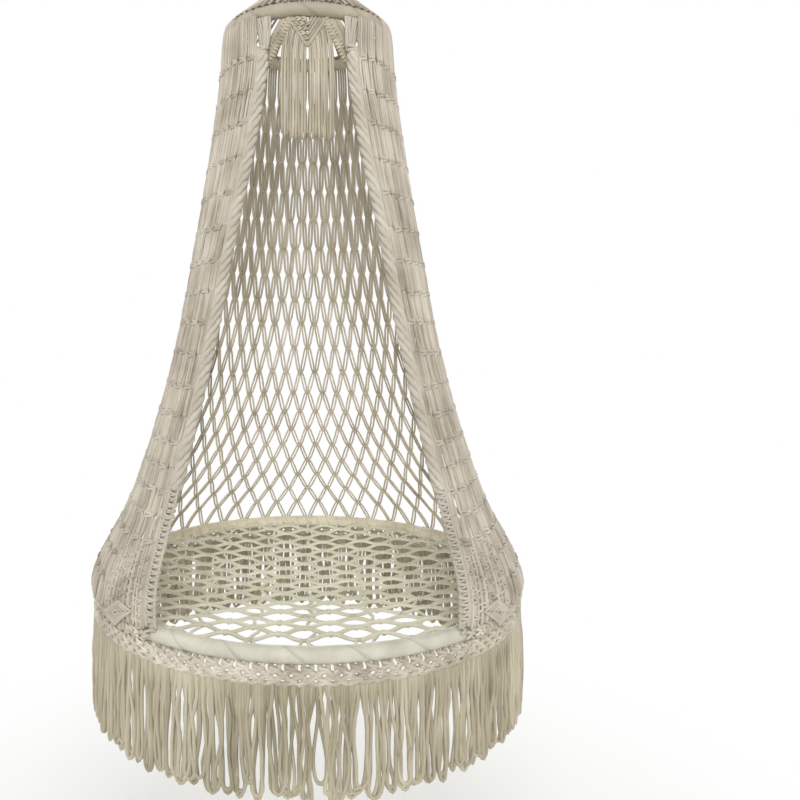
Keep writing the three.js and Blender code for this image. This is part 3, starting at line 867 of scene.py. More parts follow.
def knot_frames(out: np.ndarray, up: np.ndarray) -> np.ndarray:
    """Gives knots' directions across, outward and up from the last two."""
    up = np.broadcast_to(up, out.shape)
    return np.stack([np.cross(out, up), out, up], axis=-2)


@dataclass
class WallNet:
    """The knotted net, from one edge of the front opening round the back to the other.

    Its sides are worked close, with no gaps to see through, and its back is worked open.

    Attributes:
        plan: The chair's plan.
        columns: Knots across the net.
        rows: Heights of the rows of knots above the seat hoop.
        cord: The cord's radius in the side panels.
        back_cord: Its radius low down at the back.
        top_cord: Its radius high up at the back.
        knot: Half of a back knot's width, to the middle of its cords.
        gather: Half of the width that a back knot draws its cords in to.
        space: Space between the two cords of a pair at the back.
        pack: Space between cords side by side in the side panels.
        panel_gather: How much of its width a side panel keeps at its knots.
        panel_open: How much of its width it has between them.
        slack: Heights between which the back is worked closer.
        lean: How far its cords turn upright there.
        bunch: How far the cords of a side panel draw together in pairs.
        panel_end: Where a side panel has opened into the back, as a share of the way round.
        panel_fade: Share of the way round over which it opens.
        cover: Half of the upper hoop's sleeve, in radians; the cords start under it.
        sinnets: Upright ribbons of cords beside the opening, at the foot of each side panel.
        sinnet_width: Share of the way round that they take.
        sinnet_top: Their height.
        sinnet_step: Height between two knots of a sinnet.
        rung_step: Height between two of the rungs that join the sinnets.
        sections: Where the net's three runs begin and end, as shares of the way round.
        lozenge: Azimuth and height of a lozenge's middle, and half of its span and height.
        lozenge_sizes: Sizes of its cords, from the outside in.
        lozenge_lean: How much lower its far corner lies than its middle.
        lozenge_out: How far outside the net's middle it lies.
        lozenge_cord: Its cords' radius.
        top_space: Space between the four cords above a knot, there and at the hoop, in pitches.
        tuck: How far their ends reach in under the upper hoop's sleeve.
        stray: How far a cord strays from its lane at the back, and how much more at the sides.
    """

    plan: ChairPlan
    columns: int = 38
    rows: tuple[float, ...] = (
        0.940, 0.881, 0.823, 0.762, 0.702, 0.641, 0.584, 0.530, 0.477, 0.423,
        0.368, 0.319, 0.275, 0.234, 0.195, 0.157, 0.119, 0.083, 0.047,
    )
    cord: float = 0.0023
    back_cord: float = 0.0020
    top_cord: float = 0.0027
    knot: float = 0.0042
    gather: float = 0.0052
    space: float = 0.0064
    pack: float = 0.0048
    panel_gather: float = 0.74
    panel_open: float = 0.96
    slack: tuple[float, float] = (0.38, 0.70)
    lean: float = 0.42
    bunch: float = 0.24
    panel_end: float = 0.255
    panel_fade: float = 0.075
    cover: float = math.radians(56)
    sinnets: int = 5
    sinnet_width: float = 0.0655
    sinnet_top: float = 0.119
    sinnet_step: float = 0.0185
    rung_step: float = 0.0092
    sections: tuple[float, ...] = (0.0, 0.3125, 0.6875, 1.0)
    lozenge: tuple[float, ...] = (math.radians(49), 0.017, 0.098, 0.0165)
    lozenge_sizes: tuple[float, ...] = (1.0, 0.76, 0.5, 0.24)
    lozenge_lean: float = 0.011
    lozenge_out: float = 0.0036
    lozenge_cord: float = 0.0026
    top_space: tuple[float, float] = (0.25, 0.236)
    tuck: float = 0.0045
    stray: tuple[float, float] = (0.025, 0.03)

    def shares(self, row: int) -> np.ndarray:
        """Gives the places of a row's knots as shares of the way round."""
        if row % 2 == 0:
            return (np.arange(self.columns) + 0.5) / self.columns
        return np.arange(self.columns + 1) / self.columns

    def packed(self, share: np.ndarray) -> np.ndarray:
        """Gives how close the net is worked, from 1 in a side panel to 0 at the back."""
        return smooth((self.panel_end - np.minimum(share, 1 - share)) / self.panel_fade)

    def half_pitch(self, height: np.ndarray) -> np.ndarray:
        """Gives half of the space between two knots of a row, in metres."""
        span = TURN - 2 * self.plan.opening_at(height)
        return self.plan.wall_radius(height) * span / (2 * self.columns)

    def tightness(self, height: np.ndarray) -> np.ndarray:
        """Gives how close the back is worked, from 1 near the upper hoop to 0 low down."""
        return smooth((height - self.slack[0]) / (self.slack[1] - self.slack[0]))

    def thickness(self, share: np.ndarray, height: np.ndarray) -> np.ndarray:
        """Gives the cords' radius, which is less low down at the back."""
        packed, tight = self.packed(share), self.tightness(height)
        back = self.back_cord + (self.top_cord - self.back_cord) * tight
        return back + (self.cord - back) * packed

    def drawn_in(self, share: np.ndarray, height: np.ndarray) -> np.ndarray:
        """Gives how much of its width a strut keeps where it enters a knot."""
        tight = self.gather * (1 + 0.3 * self.tightness(height)) / self.half_pitch(height)
        return tight + (self.panel_gather - tight) * self.packed(share)

    def knots(self) -> list[tuple[np.ndarray, np.ndarray]]:
        """Places the knots, each a little off its row as in handwork.

        Returns:
            For each row, the knots' shares and heights.
        """
        made = []
        for row, height in enumerate(self.rows):
            share = self.shares(row)
            high = height + self.plan.random.normal(0, 0.0012, len(share))
            slip = self.plan.random.normal(0, 0.018, len(share)) / self.columns
            slip[(share == 0) | (share == 1)] = 0
            made.append((share + slip, high))
        return made

    def struts(self, rows: list[tuple[np.ndarray, np.ndarray]]) -> np.ndarray:
        """Lists the struts between the knots.

        Args:
            rows: The knots.

        Returns:
            For each strut, its upper and lower share and height.
        """
        ends = []
        for row in range(len(rows) - 1):
            (upper, upper_high), (lower, lower_high) = rows[row], rows[row + 1]
            shift = 0 if row % 2 == 0 else -1
            for index in range(len(upper)):
                for step in (0, 1):
                    other = index + step + shift
                    if 0 <= other < len(lower):
                        ends.append((upper[index], upper_high[index], lower[other], lower_high[other]))
        last, last_high = rows[-1]
        pitch = 0.5 / self.columns
        for index, share in enumerate(last):
            for way in (-1, 1):
                foot = min(max(share + way * pitch, 0.0), 1.0)
                ends.append((share, last_high[index], foot, 0.003 + 0.008 * float(self.packed(share))))
        return np.array(ends)

    def lay_struts(self, stock: Stock, ends: np.ndarray) -> None:
        """Adds the cords of each strut: two at the back, and as many as fit at the sides.

        Args:
            stock: Where to add them.
            ends: The struts.
        """
        random = self.plan.random
        t = np.array([0, 0.07, 0.15, 0.28, 0.5, 0.72, 0.85, 0.93, 1.0])
        spread = np.array([0, 0.45, 0.82, 1, 1, 1, 0.82, 0.45, 0])
        share, height = (ends[:, 0] + ends[:, 2]) / 2, (ends[:, 1] + ends[:, 3]) / 2
        half, packed = self.half_pitch(height), self.packed(share)
        upright = np.maximum(packed, self.lean * self.tightness(height))
        middle = np.maximum(np.minimum(1.0, 2 * self.space / half), self.tightness(height))
        middle = np.maximum(middle, packed)
        middle = middle * (1 - (1 - self.panel_open) * packed)
        knot = self.drawn_in(share, height)
        bunch = self.bunch * (1.5 - 0.5 * smooth(height / 0.3))
        counts = 2 + np.round(packed * np.clip(half / self.pack - 2, 0, 4)).astype(int)
        for count in np.unique(counts):
            here = counts == count
            some, end, lean = ends[here], knot[here, None], upright[here, None]
            kept = end + (middle[here, None] - end) * spread
            thick = self.thickness(share[here], height[here])
            least = thick[:, None] / half[here, None]
            for place in range(count):
                wild = self.stray[0] + self.stray[1] * packed[here, None]
                drift = random.normal(0, 1, (len(some), 1)) * wild * np.sin(math.pi * t)
                lane = (place + 0.5) / count
                if count >= 4:
                    group = (place // 2 * 2 + 1) / count if count % 2 == 0 else 0.5
                    lane = lane + (group - lane) * bunch[here, None]
                lane = lane + drift
                straight = t * (1 - end) + 0.5 * end + (lane - 0.5) * kept
                mix = (1 - lean) * straight + lean * (t * (1 - kept) + kept * lane)
                mix = np.clip(mix, least, 1 - least)
                along = some[:, 0:1] + (some[:, 2:3] - some[:, 0:1]) * mix
                high = some[:, 1:2] + (some[:, 3:4] - some[:, 1:2]) * t
                out = random.normal(0, 0.0008, (len(some), 1)) * np.sin(math.pi * t)
                path = self.plan.wall(along, high, out)
                width = np.broadcast_to(thick[:, None], path.shape[:-1])
                stock.tubes(path, self.plan.outward(path), width, 6)

    def at_sinnets(self, share: np.ndarray, height: np.ndarray) -> np.ndarray:
        """Tells which places lie where the sinnets are."""
        aside = np.minimum(share, 1 - share)
        return (aside < self.sinnet_width + 0.002) & (height < self.sinnet_top - 0.01)

    def lay_sinnets(self, stock: Stock, side: Side) -> None:
        """Adds the upright ribbons of cords beside the opening, and the rungs between them.

        Args:
            stock: Where to add them.
            side: The side of the chair.
        """
        plan, random = self.plan, self.plan.random
        pitch = self.sinnet_width / self.sinnets
        knot = knot_template(width=0.0072, depth=0.0028, cord=0.0022, rise=0.0036, tilt=math.radians(16))
        line = np.linspace(0.010, self.sinnet_top + 0.003, 13)
        shares = (np.arange(self.sinnets) + 0.5) * pitch
        shares = shares if side is Side.RIGHT else 1 - shares
        for number, share in enumerate(shares):
            high = np.arange(0.024 + 0.009 * (number % 2), self.sinnet_top - 0.006, self.sinnet_step)
            high = high + random.normal(0, 0.0014, len(high))
            frames = plan.wall_frames(np.full(len(high), share), high)
            size = 1 + random.normal(0, 0.07, (len(high), 1, 1))
            stock.copies(knot, frames * size, plan.wall(share, high))
            for lane in FOUR_LANES:
                near = np.cos(TURN * (line - high[0]) / self.sinnet_step)
                aside = lane * pitch * (0.195 - 0.03 * near) + random.normal(0, 0.0003)
                path = plan.wall(share + aside, line, random.normal(0, 0.0005))
                stock.tubes(path, plan.outward(path), self.cord, 6)
            if number == 0:
                continue
            rung = np.arange(0.019, self.sinnet_top - 0.004, self.rung_step)
            rung = rung + random.normal(0, 0.001, len(rung))
            mix = np.linspace(0.1, 0.9, 4)
            start = shares[number - 1]
            path = plan.wall(start + (share - start) * mix, rung[:, None], -0.0006)
            stock.tubes(path, UP, self.cord * 0.9, 6)

    def lay_lozenge(self, stock: Stock, side: Side) -> None:
        """Adds the lozenge of cords laid side by side at the foot of a side panel.

        Args:
            stock: Where to add them.
            side: The side of the chair.
        """
        corners = np.arange(24) / 6
        along = np.interp(corners, (0, 1, 2, 3, 4), (0, 1, 0, -1, 0))
        up = np.interp(corners, (0, 1, 2, 3, 4), (1, 0, -1, 0, 1))
        middle, rise, reach, half = self.lozenge
        for size in self.lozenge_sizes:
            high = rise + size * (half * up - self.lozenge_lean * along)
            azimuth = side.value * (middle + size * reach * along)
            path = self.plan.polar(self.plan.wall_radius(high) + self.lozenge_out, azimuth, high)
            stock.tubes(path, self.plan.outward(path), self.lozenge_cord, 6, closed=True)

    def lay_top_cords(self, stock: Stock, share: np.ndarray, height: np.ndarray) -> None:
        """Adds the four cords that run from each knot of the first row to the upper hoop.

        Args:
            stock: Where to add them.
            share: The knots' shares.
            height: The knots' heights.
        """
        plan = self.plan
        lap = plan.wrap + self.cord
        pitch = 1 / self.columns
        rise = np.array([0.0, 0.008, 0.02, 0.042, 0.062])
        mix = np.array([0.0, 0.5, 0.9, 1.0, 1.0])
        over = np.radians([0, 30, 60, 90, 115])
        under = np.radians([-24, -50])
        kept = self.drawn_in(share, height)
        for place in FOUR_LANES:
            start = share + place * self.top_space[0] * pitch * kept
            end = share + place * self.top_space[1] * pitch
            line = start[:, None] + (end - start)[:, None] * mix
            wall = plan.wall(line, height[:, None] + rise)
            azimuth = plan.azimuth(end, plan.hoop_height)
            front = np.abs(np.mod(azimuth + math.pi, TURN) - math.pi) < self.cover
            for here, arc, reach in (
                (~front, over, np.full(len(over), lap)),
                (front, under, np.array([lap, lap - self.tuck])),
            ):
                turn = azimuth[here, None]
                bend = plan.polar(
                    plan.top_radius + reach * np.cos(arc), turn, plan.hoop_height + reach * np.sin(arc)
                )
                paths = np.concatenate([wall[here], bend], axis=1)
                stock.tubes(paths, section_refs(paths, turn), self.cord * 0.95, 6)

    def build(self, material: bpy.types.Material, back: bpy.types.Material) -> None:
        """Builds the three runs of the net.

        Args:
            material: The side panels' finish.
            back: The back's finish, the side panels' cotton painted lighter as painted light.
        """
        plan = self.plan
        knot = knot_template(width=self.knot, depth=0.0029, cord=0.0021, rise=0.0036, tilt=math.radians(14))
        rows = self.knots()
        ends = self.struts(rows)
        ends = ends[~(self.at_sinnets(ends[:, 0], ends[:, 3]) & self.at_sinnets(ends[:, 2], ends[:, 3]))]
        share = np.concatenate([row[0] for row in rows])
        height = np.concatenate([row[1] for row in rows])
        inner = (share > 0.004) & (share < 0.996) & ~self.at_sinnets(share, height)
        share, height = share[inner], height[inner]
        middles = (ends[:, 0] + ends[:, 2]) / 2
        for name, low, high in zip(("net_right", "net_back", "net_left"), self.sections, self.sections[1:]):
            stock = Stock()
            self.lay_struts(stock, ends[(middles >= low) & (middles < high)])
            here = (share >= low) & (share < high)
            frames = plan.wall_frames(share[here], height[here])
            wide = self.drawn_in(share[here], height[here]) * self.half_pitch(height[here]) / self.gather
            frames = frames * (1 + plan.random.normal(0, 0.05, (len(frames), 1, 1)))
            frames[:, 0] *= np.maximum(1.0, 0.97 * wide)[:, None]
            frames[:, 2] *= (1 + 0.3 * self.packed(share[here]))[:, None]
            stock.copies(knot, frames, plan.wall(share[here], height[here]))
            first = (rows[0][0] >= low) & (rows[0][0] < high)
            self.lay_top_cords(stock, rows[0][0][first], rows[0][1][first])
            if low == 0.0 or high == 1.0:
                side = Side.RIGHT if low == 0.0 else Side.LEFT
                self.lay_sinnets(stock, side)
                self.lay_lozenge(stock, side)
            piece = stock.build(name + "_cords", back if name == "net_back" else material)
            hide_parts(name)
            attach(piece, Body.CANOPY.value)
            squash_to_top(piece)


def helix(
    middle: np.ndarray,
    refs: np.ndarray,
    radius: float | np.ndarray,
    turns: float,
    starts: int,
    phase: float | np.ndarray = 0.0,
) -> tuple[np.ndarray, np.ndarray]:
    """Winds strands round a line.

    Args:
        middle: The line's points.
        refs: A direction at each point that the line never follows.
        radius: How far the strands lie from the line, or a column of distances.
        turns: Turns over the whole line, negative for a left-hand lay.
        starts: How many strands.
        phase: Where the first strand begins, in radians, or its place at each point.

    Returns:
        The strands' paths, and outward directions for them.
    """
    tangent = unit(np.gradient(middle, axis=0))
    across = unit(np.cross(tangent, np.broadcast_to(refs, middle.shape)))
    out = np.cross(across, tangent)
    gaps = np.linalg.norm(np.diff(middle, axis=0), axis=-1)
    share = np.concatenate([[0], np.cumsum(gaps)]) / gaps.sum()
    paths, ways = [], []
    for start in range(starts):
        angle = TURN * (turns * share + start / starts) + phase
        way = np.cos(angle)[:, None] * out + np.sin(angle)[:, None] * across
        paths.append(middle + radius * way)
        ways.append(way)
    return np.array(paths), np.array(ways)


@dataclass
class EdgeBraid:
    """A spiral braid down one side of the front opening, and the cords that it starts from.

    Attributes:
        plan: The chair's plan.
        side: Which side.
        half_width: Half of the braid's width.
        strand: Radius of one of its strands.
        lay: Height of one turn of a strand.
        core: Radius of the cord inside it.
        inset: How far inside the net's middle it lies.
        cord: Radius of the cords that it starts from and of those beside it.
        start: How far below the upper hoop the braid begins.
        foot: Height where it turns into a plait of square knots.
        knot_step: Height between two of these knots.
        plait_inset: How far inside the net's middle they lie.
        plait_lane: Space between the plait's cords.
        plait_cord: Their radius.
        beside: Space between the braid's middle and the net's edge.
        beside_cords: Places of the two cords beside it, from the net's edge.
    """

    plan: ChairPlan
    side: Side
    half_width: float = 0.0106
    strand: float = 0.0048
    lay: float = 0.074
    core: float = 0.0062
    inset: float = 0.0074
    cord: float = 0.0025
    start: float = 0.062
    foot: float = 0.2
    knot_step: float = 0.0086
    plait_inset: float = 0.0062
    plait_lane: float = 0.0044
    plait_cord: float = 0.0024
    beside: float = 0.0082
    beside_cords: tuple[float, float] = (-0.0012, 0.0034)

    def line(self, height: np.ndarray, inset: float) -> tuple[np.ndarray, np.ndarray, np.ndarray]:
        """Gives the net's radius and the braid's azimuth and middle at each height.

        Args:
            height: Heights above the seat hoop.
            inset: How far inside the net's middle the line lies.

        Returns:
            Radii, azimuths and points.
        """
        wall = self.plan.wall_radius(height)
        azimuth = self.side.value * (self.plan.opening_at(height) - self.beside / wall)
        return wall, azimuth, self.plan.polar(wall - inset, azimuth, height)

    def build(self, material: bpy.types.Material) -> None:
        """Builds the braid.

        Args:
            material: The cords' finish.
        """
        plan, side = self.plan, self.side.value
        stock = Stock()
        top = plan.hoop_height - self.start
        height = np.linspace(top, self.foot, 260)
        _, _, middle = self.line(height, self.inset)
        refs = plan.outward(middle)
        closing = np.clip((top - height) / 0.02, 0.35, 1.0)
        radius = ((self.half_width - self.strand) * closing)[:, None]
        turns = -side * (top - self.foot) / self.lay
        drift = np.cumsum(plan.random.normal(0, 0.0036, len(height)))
        paths, ways = helix(middle, refs, radius, turns, 4, drift)
        lane = np.arange(len(paths))[:, None]
        lumps = np.sin(TURN * height / 0.016 + lane * 1.7) + np.sin(TURN * height / 0.041 + lane * 2.9)
        stock.tubes(paths, ways, self.strand * (1 + 0.13 * lumps), 7)
        stock.tubes(middle[::6], refs[::6], self.core, 6)
        rise = np.linspace(top, plan.wrap + 0.002, 60)
        wall, azimuth, _ = self.line(rise, 0.0)
        for aside in self.beside_cords:
            path = plan.polar(wall - 0.0016, azimuth + side * (self.beside + aside) / wall, rise)
            stock.tubes(path, plan.outward(path), self.cord, 6)
        t = np.linspace(0, 1, 9)
        high = plan.hoop_height - plan.wrap + 0.002 - (self.start - plan.wrap + 0.012) * t
        wall, azimuth, _ = self.line(high, 0.0)
        for place in np.arange(-3, 4):
            offset = place * (0.0052 - 0.0034 * t) + 0.0012 * np.sin(5 * t + 2 * place)
            path = plan.polar(wall - 0.005 - 0.006 * t, azimuth + offset / wall, high)
            stock.tubes(path, plan.outward(path), self.cord, 6)
        knot = knot_template(width=0.0084, depth=0.0058, cord=0.0026, rise=0.0042, tilt=math.radians(13))
        plait = np.arange(self.foot + 0.004, plan.wrap + 0.004, -self.knot_step)
        spot = np.concatenate([[top - 0.004], plait])
        _, _, places = self.line(spot, self.plait_inset)
        uneven = 1 + plan.random.normal(0, 0.06, (len(spot), 1, 1))
        stock.copies(knot, knot_frames(plan.outward(places), UP) * uneven, places)
        low = np.linspace(self.foot + 0.008, plan.wrap + 0.0006, 14)
        wall, azimuth, _ = self.line(low, 0.0)
        for place in FOUR_LANES:
            path = plan.polar(wall - self.plait_inset, azimuth + place * self.plait_lane / wall, low)
            stock.tubes(path, plan.outward(path), self.plait_cord, 6)
        name = f"edge_braid_{self.side.name.lower()}"
        piece = stock.build(name + "_cords", material)
        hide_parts(name)
        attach(piece, Body.CANOPY.value)
        squash_to_top(piece)


@dataclass
class HoopTape:
    """The tape wound round a hoop, with a smoother sleeve over its front.

    Attributes:
        plan: The chair's plan.
        node: The hoop's CAD node.
        radius: The hoop's radius.
        height: The hoop's height above the seat hoop.
        body: The body that it rides on.
        cover: Half of the sleeve, in radians.
        lap: Length of hoop that one lap of the tape covers.
        wrinkle: Size of the tape's soft unevenness.
    """

    plan: ChairPlan
    node: str
    radius: float
    height: float
    body: Body
    cover: float
    lap: float = 0.02
    wrinkle: float = 0.00018

    def add_ring(self, name: str, size: float, around: int, seed: int, ripple: float) -> bpy.types.Object:
        """Adds a torus and gives it the uneven surface of wound tape.

        Args:
            name: The object's name.
            size: The tape's outer radius.
            around: Steps round the hoop.
            seed: Which unevenness.
            ripple: Height of the laps.

        Returns:
            The new object.
        """
        deselect_all()
        bpy.ops.mesh.primitive_torus_add(
            major_segments=around, minor_segments=20, major_radius=self.radius, minor_radius=size,
            location=(0, 0, self.plan.seat_z + self.height), generate_uvs=True,
        )
        ring = bpy.context.object
        ring.name = name
        bpy.ops.object.transform_apply(location=True, rotation=True, scale=True)
        mesh = ring.data
        points = read_items(mesh.vertices, "co", 3)
        azimuth = np.arctan2(points[:, 0], -points[:, 1])
        middle = self.plan.polar(self.radius, azimuth, self.height)
        away = points - middle
        angle = np.arctan2(away[:, 2], np.linalg.norm(points[:, :2], axis=1) - self.radius)
        laps = round(TURN * self.radius / self.lap)
        saw = np.mod(azimuth / TURN * laps + angle / TURN, 1.0)
        random = np.random.default_rng(seed)
        soft = np.zeros(len(points))
        for _ in range(10):
            waves = random.integers(5, 60)
            soft += random.normal(0, 0.3) * np.sin(waves * azimuth + random.uniform(0, TURN) + 2 * angle)
        lift = ripple * (saw - 0.5) + self.wrinkle * soft
        points += unit(away) * lift[:, None]
        mesh.vertices.foreach_set("co", points.reshape(-1))
        layer = mesh.uv_layers[0].data
        uvs = read_items(layer, "uv", 2) * np.array([TURN * self.radius, 1.0])
        layer.foreach_set("uv", uvs.reshape(-1))
        mesh.update()
        return ring

    def build(self, tape: bpy.types.Material, sleeve: bpy.types.Material) -> None:
        """Builds the tape and the sleeve.

        Args:
            tape: The tape's finish.
            sleeve: The sleeve's finish.
        """
        plan = self.plan
        around = 360 if self.radius > 0.2 else 192
        ring = self.add_ring(self.node + "_tape", plan.wrap - 0.0004, around, 3, 0.0008)
        ring.data.materials.append(tape)
        for polygon in ring.data.polygons:
            polygon.use_smooth = True
        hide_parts(self.node + "_wrap")
        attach(ring, self.body.value)
        cover = self.add_ring(self.node + "_sleeve", plan.wrap + 0.0006, around, 5, 0.0005)
        bpy.ops.object.mode_set(mode="EDIT")
        for way in (-1, 1):
            bpy.ops.mesh.select_all(action="SELECT")
            bpy.ops.mesh.bisect(
                plane_co=(0, 0, 0),
                plane_no=(way * math.cos(self.cover), math.sin(self.cover), 0),
                use_fill=True,
                clear_outer=True,
            )
        bpy.ops.object.mode_set(mode="OBJECT")
        cover.data.materials.append(sleeve)
        for polygon in cover.data.polygons:
            polygon.use_smooth = len(polygon.vertices) == 4
        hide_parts(self.node + "_front_sleeve")
        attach(cover, self.body.value)
        LOG.info("%s: %d and %d faces", self.node, len(ring.data.polygons), len(cover.data.polygons))


@dataclass
class SeatNet:
    """The net across the seat hoop: rows of cord pairs that swing apart and run together.

    Attributes:
        plan: The chair's plan.
        front_rows: Places of the rows that the photograph shows one by one, from the axis.
        row: Space between the rows behind them.
        pitch: Width of one gap and one join.
        centre: Middle of a gap of the front row, across the seat.
        swing: How far a row swings from its middle at most.
        steep: How quickly it swings over; more makes a longer join.
        cord: The cord's radius.
        spread: Half of the space between the two cords of a pair.
        stringers: Places of the cords that run from front to back.
        stringer_drop: How far these lie under the rows.
        sag: How far the middle hangs below the hoop.
    """

    plan: ChairPlan
    front_rows: tuple[float, ...] = (-0.288, -0.2545, -0.2215, -0.1985, -0.158)
    row: float = 0.025
    pitch: float = 0.083
    centre: float = 0.037
    swing: float = 0.0135
    steep: float = 0.7
    cord: float = 0.0024
    spread: float = 0.0022
    stringers: tuple[float, ...] = (-0.265, -0.176, -0.083, 0.006, 0.105, 0.19, 0.272)
    stringer_drop: float = 0.0022
    sag: float = 0.03

    @property
    def rim(self) -> float:
        """Where the cords meet the hoop's tape."""
        return self.plan.seat_radius - self.plan.wrap + 0.002

    @property
    def join(self) -> float:
        """Space between two rows where they run together."""
        return 2 * self.spread + 1.2 * self.cord

    def height(self, x: np.ndarray, y: np.ndarray) -> np.ndarray:
        """Gives the net's height below the hoop at a place."""
        share = (x**2 + y**2) / self.plan.seat_radius**2
        return -self.sag * np.maximum(0, 1 - share)

    def place(self, x: np.ndarray, y: np.ndarray, lift: np.ndarray = 0.0) -> np.ndarray:
        """Gives points on the net."""
        x, y, lift = np.broadcast_arrays(x, y, lift)
        return np.stack([x, y, self.plan.seat_z + self.height(x, y) + lift], -1)

    def row_places(self) -> np.ndarray:
        """Gives the rows' places, from the front to the back."""
        places = list(self.front_rows)
        while places[-1] + 1.6 * self.row < self.rim:
            places.append(places[-1] + self.row + self.plan.random.normal(0, 0.0016))
        return np.array(places)

    def wave(self, x: np.ndarray) -> np.ndarray:
        """Gives a row's swing from -1 to 1, flat where two rows run together."""
        return np.tanh(self.steep * np.cos(TURN * (x - self.centre) / self.pitch)) / math.tanh(self.steep)

    def build(self, material: bpy.types.Material) -> None:
        """Builds the seat net.

        Args:
            material: The cords' finish.
        """
        stock = Stock()
        rows = self.row_places()
        gaps = np.diff(rows)
        tight = np.minimum(np.append(gaps, gaps[-1]), np.insert(gaps, 0, gaps[0]))
        swings = np.clip((tight - self.join) / 2, 0.002, self.swing)
        for number, (y0, swing) in enumerate(zip(rows, swings)):
            way = 1 if number % 2 == 0 else -1
            half = math.sqrt(max(self.rim**2 - (abs(y0) + 0.3 * swing) ** 2, 0.0))
            x = np.linspace(-half, half, max(12, int(half * 2 / 0.0068)))
            wave = way * self.wave(x + self.plan.random.normal(0, 0.0012))
            lean = self.plan.random.normal(0, 0.0006) * np.sin(9 * x + number)
            middle = self.place(x, y0 + swing * wave + lean, 0.0012 * wave)
            side = unit(np.cross(np.gradient(middle, axis=0), UP))
            apart = self.spread * (1 + 0.1 * np.sin(23 * x + 2 * number))
            for lane in (-1, 1):
                stock.tubes(middle + side * (lane * apart)[:, None], UP, self.cord, 6)
        self.add_joins(stock, rows)
        self.add_ties(stock, rows, swings)
        self.add_stringers(stock)
        piece = stock.build("seat_net_cords", material)
        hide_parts("seat_net")
        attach(piece, Body.SEAT.value)

    def add_joins(self, stock: Stock, rows: np.ndarray) -> None:
        """Adds the small wraps that hold two rows where they run together.

        Args:
            stock: Where to add them.
            rows: The rows' places.
        """
        spots = []
        for number, (near, far) in enumerate(zip(rows, rows[1:])):
            first = self.centre + (0 if number % 2 == 0 else 0.5 * self.pitch)
            spots += [(first + step * self.pitch, (near + far) / 2) for step in range(-5, 6)]
        spots = np.array(spots)
        spots = spots[np.hypot(spots[:, 0], spots[:, 1]) < self.rim - 0.014]
        knot = knot_template(width=0.0074, depth=0.0032, cord=0.0017, rise=0.0034, tilt=math.radians(7))
        turned = np.array([[0.0, 1.0, 0.0], [0.0, 0.0, 1.0], [1.0, 0.0, 0.0]])
        frames = turned * (1 + self.plan.random.normal(0, 0.04, (len(spots), 1, 1)))
        stock.copies(knot, frames, self.place(spots[:, 0], spots[:, 1]))

    def add_ties(self, stock: Stock, rows: np.ndarray, swings: np.ndarray) -> None:
        """Adds the short cords that tie the first and last rows to the hoop.

        Args:
            stock: Where to add them.
            rows: The rows' places.
            swings: The rows' swings.
        """
        t = np.linspace(0, 1, 5)
        ends = ((-1, rows[0], swings[0], 1), (1, rows[-1], swings[-1], 1 if len(rows) % 2 else -1))
        for way, y0, swing, flip in ends:
            shift = 0.5 if way * flip < 0 else 0.0
            for step in range(-5, 6):
                x = self.centre + (step + shift) * self.pitch
                start = y0 + way * swing
                if self.rim**2 - x**2 < start**2:
                    continue
                for lean in (-0.013, 0.013):
                    foot = x + lean
                    edge = math.sqrt(max(self.rim**2 - foot**2, 0.0))
                    if edge < abs(start) + 0.004:
                        continue
                    xs = x + lean * (0.2 + 0.8 * t)
                    ys = start + (way * edge - start) * t
                    stock.tubes(self.place(xs, ys), UP, self.cord, 6)

    def add_stringers(self, stock: Stock) -> None:
        """Adds the cords that run from front to back under the rows.

        Args:
            stock: Where to add them.
        """
        for x0 in self.stringers:
            edge = math.sqrt(self.rim**2 - x0**2)
            y = np.linspace(-edge, edge, 70)
            x = x0 + 0.006 * np.sin(TURN * y / (3.7 * self.row) + 9 * x0)
            stock.tubes(self.place(x, y, -self.stringer_drop), UP, self.cord * 1.12, 6)


